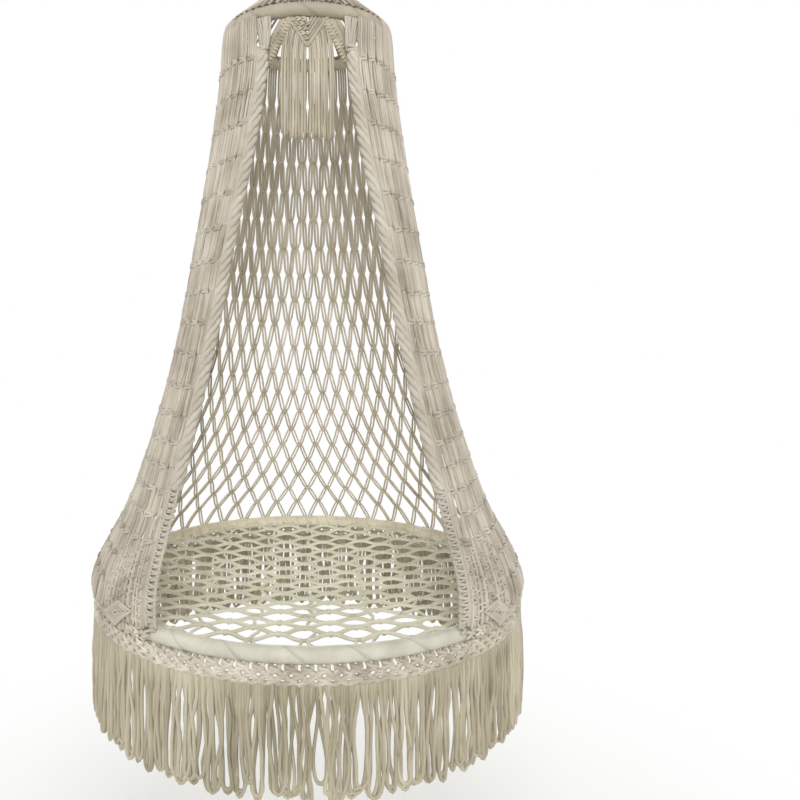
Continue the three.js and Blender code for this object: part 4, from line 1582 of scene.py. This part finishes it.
@dataclass
class SkirtBand:
    """Three rows of small knots under the seat hoop, and the hitches that lash it to the hoop.

    Attributes:
        plan: The chair's plan.
        knots: Knots in each row.
        radius: The band's radius.
        rows: Heights of the rows, below the seat hoop.
        cord: The cord's radius.
        pair: Space between the two cords of a strut.
        hitches: Hitches in each row round the whole hoop.
        hitch_rows: Where the rows of hitches lie round the hoop's section, in degrees.
        back: Where the hoop's outside begins to be bare at its top, in radians from the front.
        cover: Half of the seat hoop's sleeve, in radians.
        bare: Half of the part of the sleeve that no hitches cover.
    """

    plan: ChairPlan
    knots: int = 105
    radius: float = 0.3925
    rows: tuple[float, ...] = (-0.0165, -0.0245, -0.0325)
    cord: float = 0.0028
    pair: float = 0.0028
    hitches: int = 116
    hitch_rows: tuple[float, ...] = (44.0, 2.0, -38.0)
    back: float = math.radians(100)
    cover: float = math.radians(41)
    bare: float = math.radians(37)

    def build(self, material: bpy.types.Material) -> None:
        """Builds the band and the cords that lash it to the hoop.

        Args:
            material: The cords' finish.
        """
        plan, random = self.plan, self.plan.random
        stock = Stock()
        pitch = TURN / self.knots
        knot = knot_template(width=0.0074, depth=0.0028, cord=0.0030, rise=0.0036, tilt=math.radians(15))
        for row, height in enumerate(self.rows):
            azimuth = (np.arange(self.knots) + 0.5 * (row % 2)) * pitch
            azimuth = azimuth + random.normal(0, 0.05, self.knots) * pitch
            high = height + random.normal(0, 0.0006, self.knots)
            places = plan.polar(self.radius, azimuth, high)
            frames = knot_frames(plan.outward(places), UP)
            frames = frames * (1 + random.normal(0, 0.06, (self.knots, 1, 1)))
            stock.copies(knot, frames, places)
        for row in range(-1, len(self.rows)):
            for way in (-1, 1):
                for place in (-1, 1):
                    lower = (np.arange(self.knots) + 0.5 * ((row + 1) % 2)) * pitch
                    upper = lower + way * 0.5 * pitch
                    offset = place * self.pair / self.radius
                    if row < 0:
                        self.lash(stock, lower + way * 0.25 * pitch + offset / 2)
                        continue
                    top = self.rows[row]
                    foot = self.rows[row + 1] if row + 1 < len(self.rows) else top - 0.006
                    mix = np.array([0.0, 0.5, 1.0])
                    line = upper[:, None] + (lower - upper)[:, None] * mix + offset
                    high = top + (foot - top) * mix
                    paths = plan.polar(self.radius + 0.0005, line, high)
                    stock.tubes(paths, plan.outward(paths), self.cord, 5)
        self.add_hitches(stock)
        piece = stock.build("skirt_band_knots", material)
        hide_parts("skirt_band")
        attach(piece, Body.SEAT.value)

    def add_hitches(self, stock: Stock) -> None:
        """Adds the rows of hitches on the outside of the hoop, beside and behind the sleeve.

        Args:
            stock: Where to add them.
        """
        plan, random = self.plan, self.plan.random
        knot = knot_template(width=0.0078, depth=0.0026, cord=0.0031, rise=0.0046, tilt=math.radians(22))
        for row, degrees in enumerate(self.hitch_rows):
            azimuth = (np.arange(self.hitches) + 0.5 * (row % 2)) * TURN / self.hitches
            azimuth = np.mod(azimuth + random.normal(0, 0.0022, self.hitches) + math.pi, TURN) - math.pi
            azimuth = azimuth[np.abs(azimuth) > self.bare + 0.02 * row]
            azimuth = azimuth[(np.abs(azimuth) < self.back + 0.26) | (row > 0)]
            section = math.radians(degrees) + random.normal(0, 0.03, len(azimuth))
            reach = plan.wrap + 0.0010
            places = plan.polar(
                plan.seat_radius + reach * np.cos(section), azimuth, reach * np.sin(section)
            )
            level = plan.outward(places)
            out = level * np.cos(section)[:, None] + UP * np.sin(section)[:, None]
            up = UP * np.cos(section)[:, None] - level * np.sin(section)[:, None]
            uneven = 1 + random.normal(0, 0.07, (len(azimuth), 1, 1))
            stock.copies(knot, knot_frames(out, up) * uneven, places)

    def behind(self, azimuth: np.ndarray) -> np.ndarray:
        """Tells how far a place is behind the chair's sides, from 0 to 1."""
        return smooth((np.abs(azimuth) - self.back) / 0.35)

    def lash(self, stock: Stock, azimuth: np.ndarray) -> None:
        """Adds the cords that come down over the hoop's outside, or from under the front sleeve.

        Args:
            stock: Where to add them.
            azimuth: The cords' directions.
        """
        plan = self.plan
        lap = plan.wrap + self.cord
        azimuth = np.mod(azimuth + math.pi, TURN) - math.pi
        front = np.abs(azimuth) < self.cover
        upper, lower = math.radians(62), math.radians(-48)
        for here, rows, reach in (
            (~front, np.linspace(0, 1, 5), lap - 0.0012),
            (front, np.array([1.22, 1.16, 1.11]), lap - 0.001),
        ):
            turn = azimuth[here][:, None]
            start = upper - math.radians(36) * self.behind(turn)
            angles = start + (lower - start) * rows
            over = plan.polar(plan.seat_radius + reach * np.cos(angles), turn, reach * np.sin(angles))
            foot = plan.polar(self.radius, turn, np.array([self.rows[0]]))
            paths = np.concatenate([over, foot], axis=1)
            stock.tubes(paths, section_refs(paths, turn), self.cord, 5)


@dataclass
class Fringe:
    """The loose loops of cord that hang from the band's knots, in five sections.

    Attributes:
        plan: The chair's plan.
        knots: Knots that the cords hang from.
        pairs: For each way of looping a knot's six cords, the cords that are one loop.
        radius: The fringe's radius.
        cord: The cord's radius.
        top: Height of its start, below the seat hoop.
        foot: Height of its loops' ends, below the seat hoop.
        foot_limits: Lowest and highest that an end may lie.
        ragged: Unevenness of the ends.
        lane: Space between two cords of a knot.
        widths: Least and greatest half width of a loop at its foot.
        sway: Size of the waves that carry neighbouring cords aside together.
        scallop: How far the same waves move the ends up and down.
        curl: Size of a cord's own waves.
        depth: How far in and out of the fringe's middle a cord may lie.
    """

    plan: ChairPlan
    knots: int = 105
    pairs: tuple[tuple[tuple[int, int], ...], ...] = (
        ((0, 3), (1, 4), (2, 5)),
        ((0, 5), (1, 4), (2, 3)),
        ((0, 2), (1, 4), (3, 5)),
        ((0, 4), (1, 3), (2, 5)),
    )
    radius: float = 0.3925
    cord: float = 0.0029
    top: float = -0.034
    foot: float = -0.196
    foot_limits: tuple[float, float] = (-0.2035, -0.176)
    ragged: float = 0.0045
    lane: float = 0.0039
    widths: tuple[float, float] = (0.0038, 0.0098)
    sway: float = 0.0019
    scallop: float = 0.0022
    curl: float = 0.0024
    depth: tuple[float, float] = (-0.006, 0.0066)

    def build(self, material: bpy.types.Material) -> None:
        """Builds the five sections.

        Args:
            material: The cords' finish.
        """
        plan, random = self.plan, self.plan.random
        names = ("front", "right", "back_right", "back_left", "left")
        span = TURN / len(names)
        waves = random.integers(34, 120, 7)
        phases = random.uniform(0, TURN, (2, 7))
        knot = np.arange(self.knots) * TURN / self.knots
        turned = np.mod(knot + plan.opening, TURN)
        for number, name in enumerate(names):
            here = knot[(turned >= number * span) & (turned < (number + 1) * span)]
            stock = Stock()
            paths = self.loops(here, waves, phases)
            size = self.cord * (1 + random.normal(0, 0.05, (len(paths), 1)))
            stock.tubes(paths, plan.outward(paths), np.broadcast_to(size, paths.shape[:-1]), 6)
            piece = stock.build(f"fringe_{name}_cords", material)
            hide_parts(f"fringe_{name}")
            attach(piece, Body.SEAT.value)

    def loops(self, knot: np.ndarray, waves: np.ndarray, phases: np.ndarray) -> np.ndarray:
        """Gives the paths of three loops at each of some knots.

        Args:
            knot: The knots' directions.
            waves: How often the fringe's shared waves go round the chair.
            phases: Where they start, at mid height and at the loops' ends.

        Returns:
            The paths.
        """
        random = self.plan.random
        ways = np.array(self.pairs)[random.integers(0, len(self.pairs), len(knot))]
        middle_cord = (2 * len(self.pairs[0]) - 1) / 2
        ends = (ways.reshape(-1, 2) - middle_cord) * self.lane
        base = np.repeat(knot, len(self.pairs[0]))[:, None]
        layer = np.tile(np.arange(len(self.pairs[0])) - 1.0, len(knot))[:, None]
        many = len(base)
        t = np.array([0, 0.07, 0.15, 0.24, 0.34, 0.45, 0.56, 0.67, 0.77, 0.85, 0.91, 0.955, 0.985, 1.0])
        middle, half = ends.mean(axis=1)[:, None], (ends[:, 1] - ends[:, 0])[:, None] / 2
        drift = np.sin((base + middle / self.radius)[..., None] * waves + phases[0]).sum(axis=-1)
        later = np.sin((base + middle / self.radius)[..., None] * waves[::-1] + phases[1]).sum(axis=-1)
        middle = middle * (0.8 + 0.35 * np.minimum(1, t / 0.14))
        middle = middle + self.sway * (drift * np.sin(1.6 * t) + later * t**2)
        wide = random.uniform(*self.widths, (many, 1))
        half = half + (wide - half) * smooth((t - 0.25) / 0.55)
        turn = np.sqrt(1 - np.clip((t - 0.91) / 0.09, 0, 1) ** 2)
        foot = self.foot + random.normal(0, self.ragged, (many, 1)) + self.scallop * later
        height = self.top + (np.clip(foot, *self.foot_limits) - self.top) * t
        legs = []
        for way in (-1, 1):
            side, out = middle + way * half * turn, 0.002 * layer * np.minimum(1, 4 * t)
            for wave in (1, 2, 3):
                size = random.normal(0, self.curl / wave**0.5, (2, many, 1))
                bend = TURN * t * wave * 0.55 + random.uniform(0, TURN, (many, 1))
                fade = np.minimum(1, 3 * t) * np.minimum(1, (1 - t) / 0.2)
                side = side + size[0] * (np.sin(bend) - np.sin(bend[:, :1])) * fade
                out = out + 0.5 * size[1] * np.cos(bend) * fade
            out = np.clip(out + 0.001 * t, *self.depth)
            legs.append(self.plan.polar(self.radius + out, base + side / self.radius, height))
        return np.concatenate([legs[0], legs[1][:, -2::-1]], axis=1)


@dataclass
class Valance:
    """The knotted panel under the front of the upper hoop, its straps and its hanging cords.

    Attributes:
        plan: The chair's plan.
        half_width: Half of the panel's width.
        depth: How far its point hangs down.
        panel_lane: Space between its slanting cords.
        knot_step: Space between its knots.
        strap_start: Where the straps leave the hoop, across it.
        strap_middle: Where the row of knots on a strap begins.
        strap_reach: How far out a strap's foot lies.
        strap_drop: How far down a strap's foot lies.
        strap_lane: Space between a strap's cords.
        strap_knot: How much wider than the panel's a strap's knots are.
        cords: Hanging cords.
        cord: Their radius.
        cord_space: Space between them.
        length: How far down the cords' ends lie.
    """

    plan: ChairPlan
    half_width: float = 0.034
    depth: float = 0.052
    panel_lane: float = 0.0062
    knot_step: float = 0.0095
    strap_start: float = 0.023
    strap_middle: float = 0.03
    strap_reach: float = 0.074
    strap_drop: float = 0.08
    strap_lane: float = 0.0052
    strap_knot: float = 1.7
    cords: int = 18
    cord: float = 0.0024
    cord_space: float = 0.0051
    length: float = 0.214

    def place(self, across: np.ndarray, down: np.ndarray, out: np.ndarray = 0.0) -> np.ndarray:
        """Gives points on the valance from its place across and how far below the hoop it is."""
        radius = self.plan.top_radius + np.asarray(out)
        height = self.plan.hoop_height - self.plan.wrap - 0.0006 - np.asarray(down)
        return self.plan.polar(radius, np.asarray(across) / self.plan.top_radius, height)

    def strip(self, stock: Stock, start: tuple, end: tuple, radius: float, out: float = 0.0) -> None:
        """Adds one straight cord between two places on the panel."""
        t = np.linspace(0, 1, 7)
        across = start[0] + (end[0] - start[0]) * t
        down = start[1] + (end[1] - start[1]) * t
        path = self.place(across, down, out)
        stock.tubes(path, self.plan.outward(path), radius, 6)

    def edge(self, across: float) -> float:
        """Gives how far down the panel or its strap reaches at a place across it."""
        slant = self.depth / self.half_width
        strap = self.strap_drop / (self.strap_reach - self.strap_start)
        return max(self.depth - abs(across) * slant, (abs(across) - self.strap_start) * strap)

    def build(self, material: bpy.types.Material) -> None:
        """Builds the panel and its cords.

        Args:
            material: The cords' finish.
        """
        plan, random = self.plan, self.plan.random
        stock = Stock()
        knot = knot_template(width=0.0046, depth=0.003, cord=0.0022, rise=0.0034, tilt=math.radians(20))
        slant = self.depth / self.half_width
        for way in (-1, 1):
            for lane in range(6):
                inset = self.panel_lane * lane
                low = self.depth - inset * slant
                radius, out = (0.0027, 0.0) if lane else (0.0034, 0.0012)
                if low > 0.01:
                    start = (way * (self.half_width - inset), 0.0)
                    self.strip(stock, start, (0.0, low), radius, out)
        for row in range(5):
            down = self.depth * (0.1 + 0.16 * row)
            reach = (self.depth - down) / slant - 0.006
            spots = np.arange(-reach, 0.0, self.knot_step)
            if len(spots) == 0:
                continue
            places = self.place(spots, np.full(len(spots), down), 0.002)
            stock.copies(knot, knot_frames(plan.outward(places), UP), places)
        for way in (-1, 1):
            for lane in range(7 if way > 0 else 5):
                shift = self.strap_lane * lane + random.normal(0, 0.0006)
                end = (way * self.strap_reach, self.strap_drop - 1.45 * shift)
                self.strip(stock, (way * (0.025 + shift), 0.002), end, 0.003)
            spots = np.linspace(0.05, 0.95, 13)
            across = way * (self.strap_middle + (self.strap_reach - self.strap_middle) * spots)
            down = 0.002 + (self.strap_drop - 0.009) * spots
            places = self.place(across, down, 0.0006)
            lean = math.atan2(self.strap_drop, self.strap_reach - self.strap_middle)
            side = plan_across(across / plan.top_radius, places.shape)
            along = way * math.cos(lean) * side - math.sin(lean) * UP
            frames = knot_frames(plan.outward(places), along)
            frames[:, 0] *= self.strap_knot
            stock.copies(knot, frames, places)
        panel = stock.build("valance_knots", material)
        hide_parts("valance_panel")
        hanging = Stock()
        t = np.linspace(0, 1, 17)
        for index in range(self.cords):
            across = (index - (self.cords - 1) / 2) * self.cord_space
            across += 0.0022 * np.sign(across)
            foot = self.length - abs(random.normal(0, 0.006))
            start = 0.72 * across
            down = self.edge(start) + (foot - self.edge(start)) * t
            bend = (start - across) * np.exp(-9 * t)
            sway = random.normal(0, 0.0014) * np.sin(math.pi * t + 0.4) * t
            path = self.place(across + bend + sway, down, random.normal(0, 0.001) * t)
            hanging.tubes(path, plan.outward(path), self.cord, 6)
        cords = hanging.build("valance_hanging_cords", material)
        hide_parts("valance_cords")
        for piece in (panel, cords):
            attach(piece, Body.CANOPY.value)


@dataclass
class Suspension:
    """The cords above the upper hoop, the neck, the hanging rope, its eye and the steel ring.

    Attributes:
        plan: The chair's plan.
        cords: Cords between the hoop and the neck.
        cord: Their radius.
        cone: Height from the upper hoop to the foot of the neck.
        winding: Radius of the cord wound round the neck.
        tail: Length of the rope's end inside the neck.
        core: Radius of that end.
        strand: Radius of one of the rope's three strands.
        lay: How far the strands lie from the rope's middle.
        turns: Turns of a strand over the free rope.
        eye_strand: Radius of one of the eye's three strands.
        eye_lay: How far these lie from the middle of its rope.
        eye_turns: Turns of a strand over the whole eye.
        eye_bend: Radius of its bend over the ring.
        eye_leg: Half of the space between its legs.
        whipping: Radius of the cord wound round its legs.
        ring: Radius of the ring, to the middle of its wire.
        wire: The wire's radius.
        weld: Where the ring's weld lies, in radians, and half of its width.
        swell: How much thicker than the wire the weld is.
    """

    plan: ChairPlan
    cords: int = 60
    cord: float = 0.0023
    cone: float = 0.13
    winding: float = 0.0028
    tail: float = 0.054
    core: float = 0.0105
    strand: float = 0.0076
    lay: float = 0.0074
    turns: float = 3.4
    eye_strand: float = 0.0045
    eye_lay: float = 0.0044
    eye_turns: float = 5.0
    eye_bend: float = 0.0141
    eye_leg: float = 0.0094
    whipping: float = 0.0022
    ring: float = 0.031
    wire: float = 0.00395
    weld: tuple[float, float] = (1.2, 0.05)
    swell: float = 0.09

    def build_cone(self, material: bpy.types.Material) -> None:
        """Builds the cords that draw in from the upper hoop to the neck.

        Args:
            material: The cords' finish.
        """
        plan = self.plan
        _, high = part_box("gather_wrap")
        neck_top = high[2] - plan.seat_z
        neck_foot = plan.hoop_height + self.cone
        azimuth = (np.arange(self.cords) + 0.5) * TURN / self.cords
        lap = plan.wrap + self.cord
        leave = np.radians([150, 115, 80, 55])
        start = plan.polar(
            plan.top_radius + lap * np.cos(leave), azimuth[:, None], plan.hoop_height + lap * np.sin(leave)
        )
        inner = 0.0128 + 0.0022 * (np.arange(self.cords) % 2)
        run = np.array([0.25, 0.5, 0.75, 0.93, 1.0])
        lap_radius = plan.top_radius + lap * math.cos(leave[-1])
        lap_height = plan.hoop_height + lap * math.sin(leave[-1])
        radius = lap_radius + (inner[:, None] - lap_radius) * run
        height = lap_height + (neck_foot - lap_height) * run
        cone = plan.polar(radius, azimuth[:, None], height[None, :])
        neck = plan.polar(
            inner[:, None], azimuth[:, None] + np.array([0.3, 0.6]), np.array([neck_foot + 0.03, neck_top])
        )
        paths = np.concatenate([start, cone, neck], axis=1)
        stock = Stock()
        stock.tubes(paths, section_refs(paths, azimuth[:, None]), self.cord, 6)
        piece = stock.build("suspension_cone_cords", material)
        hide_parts(*[f"suspension_cords_{number:02d}" for number in range(1, 11)])
        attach(piece, Body.CANOPY.value)

    def build_neck_wrap(self, material: bpy.types.Material) -> None:
        """Builds the cord wound round the neck.

        Args:
            material: The cord's finish.
        """
        low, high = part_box("gather_wrap")
        cord = self.winding
        rise = high[2] - low[2] - 2 * cord
        turns = rise / (1.96 * cord)
        t = np.linspace(0, 1, int(turns * 24))
        angle = TURN * turns * t
        radius = high[0] - cord
        line = [radius * np.sin(angle), -radius * np.cos(angle), low[2] + cord + rise * t]
        path = np.stack(line, -1)
        stock = Stock()
        stock.tubes(path, self.plan.outward(path), cord, 8)
        piece = stock.build("neck_winding", material)
        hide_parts("gather_wrap")
        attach(piece, Body.CANOPY.value)

    def build_rope(self, material: bpy.types.Material) -> None:
        """Builds the three-strand hanging rope.

        Args:
            material: The rope's finish.
        """
        low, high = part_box("hanging_rope")
        foot = low[2] + self.tail
        z = np.linspace(high[2] - 0.001, foot + 0.0005, 90)
        middle = np.stack([np.zeros_like(z), np.zeros_like(z), z], -1)
        draw_in = np.clip((high[2] - z) / 0.012, 0.25, 1.0)
        paths, ways = helix(middle, np.array([0.0, 1.0, 0.0]), self.lay, self.turns, 3)
        stock = Stock()
        shift = (paths - middle) * draw_in[None, :, None]
        stock.tubes(middle + shift, ways, self.strand * draw_in**0.5, 10)
        core = np.linspace(foot + 0.004, low[2], 6)
        line = np.stack([np.zeros_like(core), np.zeros_like(core), core], -1)
        stock.tubes(line, np.array([0.0, 1.0, 0.0]), self.core, 12)
        piece = stock.build("hanging_rope_strands", material)
        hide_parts("hanging_rope")
        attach(piece, Body.ROPE.value)

    def build_eye(self, material: bpy.types.Material) -> None:
        """Builds the rope eye round the ring, and the whipping on its two legs.

        Args:
            material: The rope's finish.
        """
        low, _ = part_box("rope_eye")
        ring_low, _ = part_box("hanging_ring")
        pivot = ring_low[2] + 0.004
        leg, bend = self.eye_leg, self.eye_bend
        heights = (low[2], low[2] + 0.02, low[2] + 0.042, pivot - 0.034)
        half = [(leg, height) for height in heights] + [(bend, pivot)]
        half += [(bend * math.cos(a), pivot + bend * math.sin(a)) for a in np.radians([22, 45, 68])]
        route = np.array(half + [(0.0, pivot + bend)] + [(-y, z) for y, z in reversed(half)])
        dense = spline(route, 2 * route[:1] - route[1:2], 2 * route[-1:] - route[-2:-1], 7)
        middle = np.stack([np.zeros(len(dense)), dense[:, 0], dense[:, 1]], -1)
        paths, ways = helix(middle, np.array([1.0, 0.0, 0.0]), self.eye_lay, self.eye_turns, 3)
        stock = Stock()
        stock.tubes(paths, ways, self.eye_strand, 8)
        eye = stock.build("rope_eye_strands", material)
        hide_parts("rope_eye")
        box_low, box_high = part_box("eye_whipping")
        cord = self.whipping
        reach = box_high[0] - cord
        rise = box_high[2] - box_low[2] - 2 * cord
        turns = rise / (2.05 * cord)
        t = np.linspace(0, 1, int(turns * 32))
        angle = TURN * turns * t
        y = reach * np.sin(angle) + leg * np.tanh(5 * np.sin(angle))
        path = np.stack([reach * np.cos(angle), y, box_low[2] + cord + rise * t], -1)
        coil = Stock()
        coil.tubes(path, self.plan.outward(path), cord, 8)
        whipping = coil.build("eye_whipping_coil", material)
        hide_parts("eye_whipping")
        for piece in (eye, whipping):
            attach(piece, Body.ROPE.value)

    def build_ring(self, material: bpy.types.Material) -> None:
        """Builds the welded steel ring.

        Args:
            material: The ring's finish.
        """
        low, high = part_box("hanging_ring")
        middle = (low[2] + high[2]) / 2
        deselect_all()
        bpy.ops.mesh.primitive_torus_add(
            major_segments=72, minor_segments=18, major_radius=self.ring, minor_radius=self.wire,
            location=(0, 0, middle), rotation=(math.pi / 2, 0, 0),
        )
        ring = bpy.context.object
        ring.name = "steel_ring"
        bpy.ops.object.transform_apply(location=True, rotation=True, scale=True)
        mesh = ring.data
        for vertex in mesh.vertices:
            angle = math.atan2(vertex.co.x, vertex.co.z - middle)
            weld = math.exp(-(((angle - self.weld[0]) / self.weld[1]) ** 2))
            away = Vector((vertex.co.x, 0, vertex.co.z - middle)).normalized() * self.ring
            core = Vector((away.x, 0, middle + away.z))
            vertex.co += (vertex.co - core) * self.swell * weld
        for polygon in mesh.polygons:
            polygon.use_smooth = True
        mesh.materials.append(material)
        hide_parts("hanging_ring")
        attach(ring, Body.HANGER.value)
        LOG.info("%s: %d faces", ring.name, len(mesh.polygons))


# Stage


@dataclass
class Studio:
    """The pale floor, the soft lights and the camera at the photograph's place.

    Attributes:
        plan: The chair's plan.
        distance: From the camera to the chair's axis.
        height: Of the camera above the seat hoop.
        focal: The lens for a 36 mm frame.
        shift: How far the frame stands to the side of the lens and above it, in frame widths.
        lamp_power: Power of the key lamp, which the others follow.
        sky: Strength of the even light from all round.
        floor_drop: How far the floor lies below the seat hoop.
    """

    plan: ChairPlan
    distance: float = 1.467
    height: float = 0.4655
    focal: float = 34.26
    shift: tuple[float, float] = (0.1156, -0.0892)
    lamp_power: float = 27.0
    sky: float = 0.54
    floor_drop: float = 0.62

    def build_camera(self) -> None:
        """Adds the level camera."""
        data = bpy.data.cameras.new("photo_camera")
        data.lens = self.focal
        data.sensor_width = 36.0
        data.shift_x, data.shift_y = self.shift
        data.clip_start = 0.01
        camera = bpy.data.objects.new("photo_camera", data)
        camera.location = (0, -self.distance, self.plan.seat_z + self.height)
        camera.rotation_euler = (math.pi / 2, 0, 0)
        bpy.context.collection.objects.link(camera)
        bpy.context.scene.camera = camera

    def build_floor(self) -> None:
        """Adds the floor, which fades from the chair's shadow to white."""
        deselect_all()
        bpy.ops.mesh.primitive_plane_add(size=40, location=(0, 0, self.plan.seat_z - self.floor_drop))
        floor = bpy.context.object
        floor.name = "floor"
        made, graph, shader = fresh_material("floor_paper")
        graph.feed(shader, {"Base Color": srgb(0.93, 0.93, 0.92), "Roughness": 0.9})
        spot = graph.node("TexCoord").outputs["Object"]
        away = graph.node("VectorMath", {0: spot}, operation="LENGTH").outputs["Value"]
        ends = {"Value": away, "From Min": 0.35, "From Max": 1.3}
        spread = graph.node("MapRange", ends, interpolation_type="SMOOTHSTEP")
        share = graph.maths("MULTIPLY", graph.seen("ADD", True), spread.outputs["Result"])
        white = graph.node("Emission")
        mix = graph.node("MixShader", {"Fac": share, 1: shader.outputs[0], 2: white.outputs[0]})
        graph.feed(made.node_tree.nodes["Material Output"], {"Surface": mix.outputs[0]})
        floor.data.materials.append(made)

    def build_lights(self) -> None:
        """Adds the lamps and the world."""
        world = bpy.data.worlds.new("studio")
        bpy.context.scene.world = world
        world.use_nodes = True
        graph = Graph(world.node_tree)
        light = world.node_tree.nodes["Background"]
        graph.feed(light, {"Color": (1, 1, 1, 1), "Strength": self.sky})
        seen = graph.node("Background", {"Color": (1, 1, 1, 1), "Strength": 1.0})
        ends = {"Fac": graph.seen("MAXIMUM"), 1: light.outputs[0], 2: seen.outputs[0]}
        mix = graph.node("MixShader", ends)
        graph.feed(world.node_tree.nodes["World Output"], {"Surface": mix.outputs[0]})
        middle = self.plan.seat_z + 0.5
        for name, place, size, share in (
            ("key", (0.1, -2.2, middle + 1.9), 1.6, 1.35),
            ("front", (-0.2, -5.0, middle + 0.5), 2.0, 2.5),
            ("right", (3.8, 0.4, middle + 0.8), 2.0, 1.5),
            ("left", (-3.8, 0.4, middle + 0.8), 2.0, 1.5),
            ("back", (0.4, 4.2, middle + 1.2), 2.0, 2.2),
        ):
            data = bpy.data.lights.new(name, "AREA")
            data.size = size
            data.energy = share * self.lamp_power
            lamp = bpy.data.objects.new(name, data)
            lamp.location = place
            aim = Vector((0, 0, middle - 0.2)) - Vector(place)
            lamp.rotation_euler = aim.to_track_quat("-Z", "Y").to_euler()
            bpy.context.collection.objects.link(lamp)

    def build(self) -> None:
        """Builds the whole stage."""
        self.build_camera()
        self.build_floor()
        self.build_lights()
        bpy.context.scene.view_settings.view_transform = "Standard"


def dress_rods(frame: dict, material: bpy.types.Material) -> None:
    """Gives the hidden hoop rods their steel.

    Args:
        material: The rods' finish.
    """
    for name in ("top_hoop", "seat_hoop"):
        rod = frame["nodes"][name]
        for slot in rod.material_slots:
            slot.material = material
        LOG.info("%s: kept from CAD", name)


def main() -> None:
    """Builds the chair's looks over the CAD frame."""
    logging.basicConfig(level=logging.INFO, format="%(message)s")
    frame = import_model()
    plan = ChairPlan.from_frame()
    Studio(plan).build()
    kit = ShaderKit()
    net = NET_FINISH.make(kit)
    seat = SEAT_NET_LIT_FINISH.make(kit)
    rope, braid = ROPE_FINISH.make(kit), BRAID_FINISH.make(kit)
    tape, sleeve = TAPE_FINISH.make(kit), SLEEVE_FINISH.make(kit)
    dress_rods(frame, ROD_FINISH.make(kit))
    WallNet(plan).build(net, BACK_NET_LIT_FINISH.make(kit))
    for side in Side:
        EdgeBraid(plan, side).build(braid)
    HoopTape(
        plan, "top_hoop", plan.top_radius, plan.hoop_height, Body.CANOPY, WallNet.cover
    ).build(tape, TOP_SLEEVE_SHADED_FINISH.make(kit))
    HoopTape(plan, "seat_hoop", plan.seat_radius, 0.0, Body.SEAT, SkirtBand.cover).build(tape, sleeve)
    SeatNet(plan).build(seat)
    SkirtBand(plan).build(BAND_FINISH.make(kit))
    Fringe(plan).build(FRINGE_FINISH.make(kit))
    Valance(plan).build(VALANCE_FINISH.make(kit))
    hanging = Suspension(plan)
    hanging.build_cone(net)
    hanging.build_neck_wrap(rope)
    hanging.build_rope(rope)
    hanging.build_eye(rope)
    hanging.build_ring(RING_FINISH.make(kit))


if __name__ == "__main__":
    main()
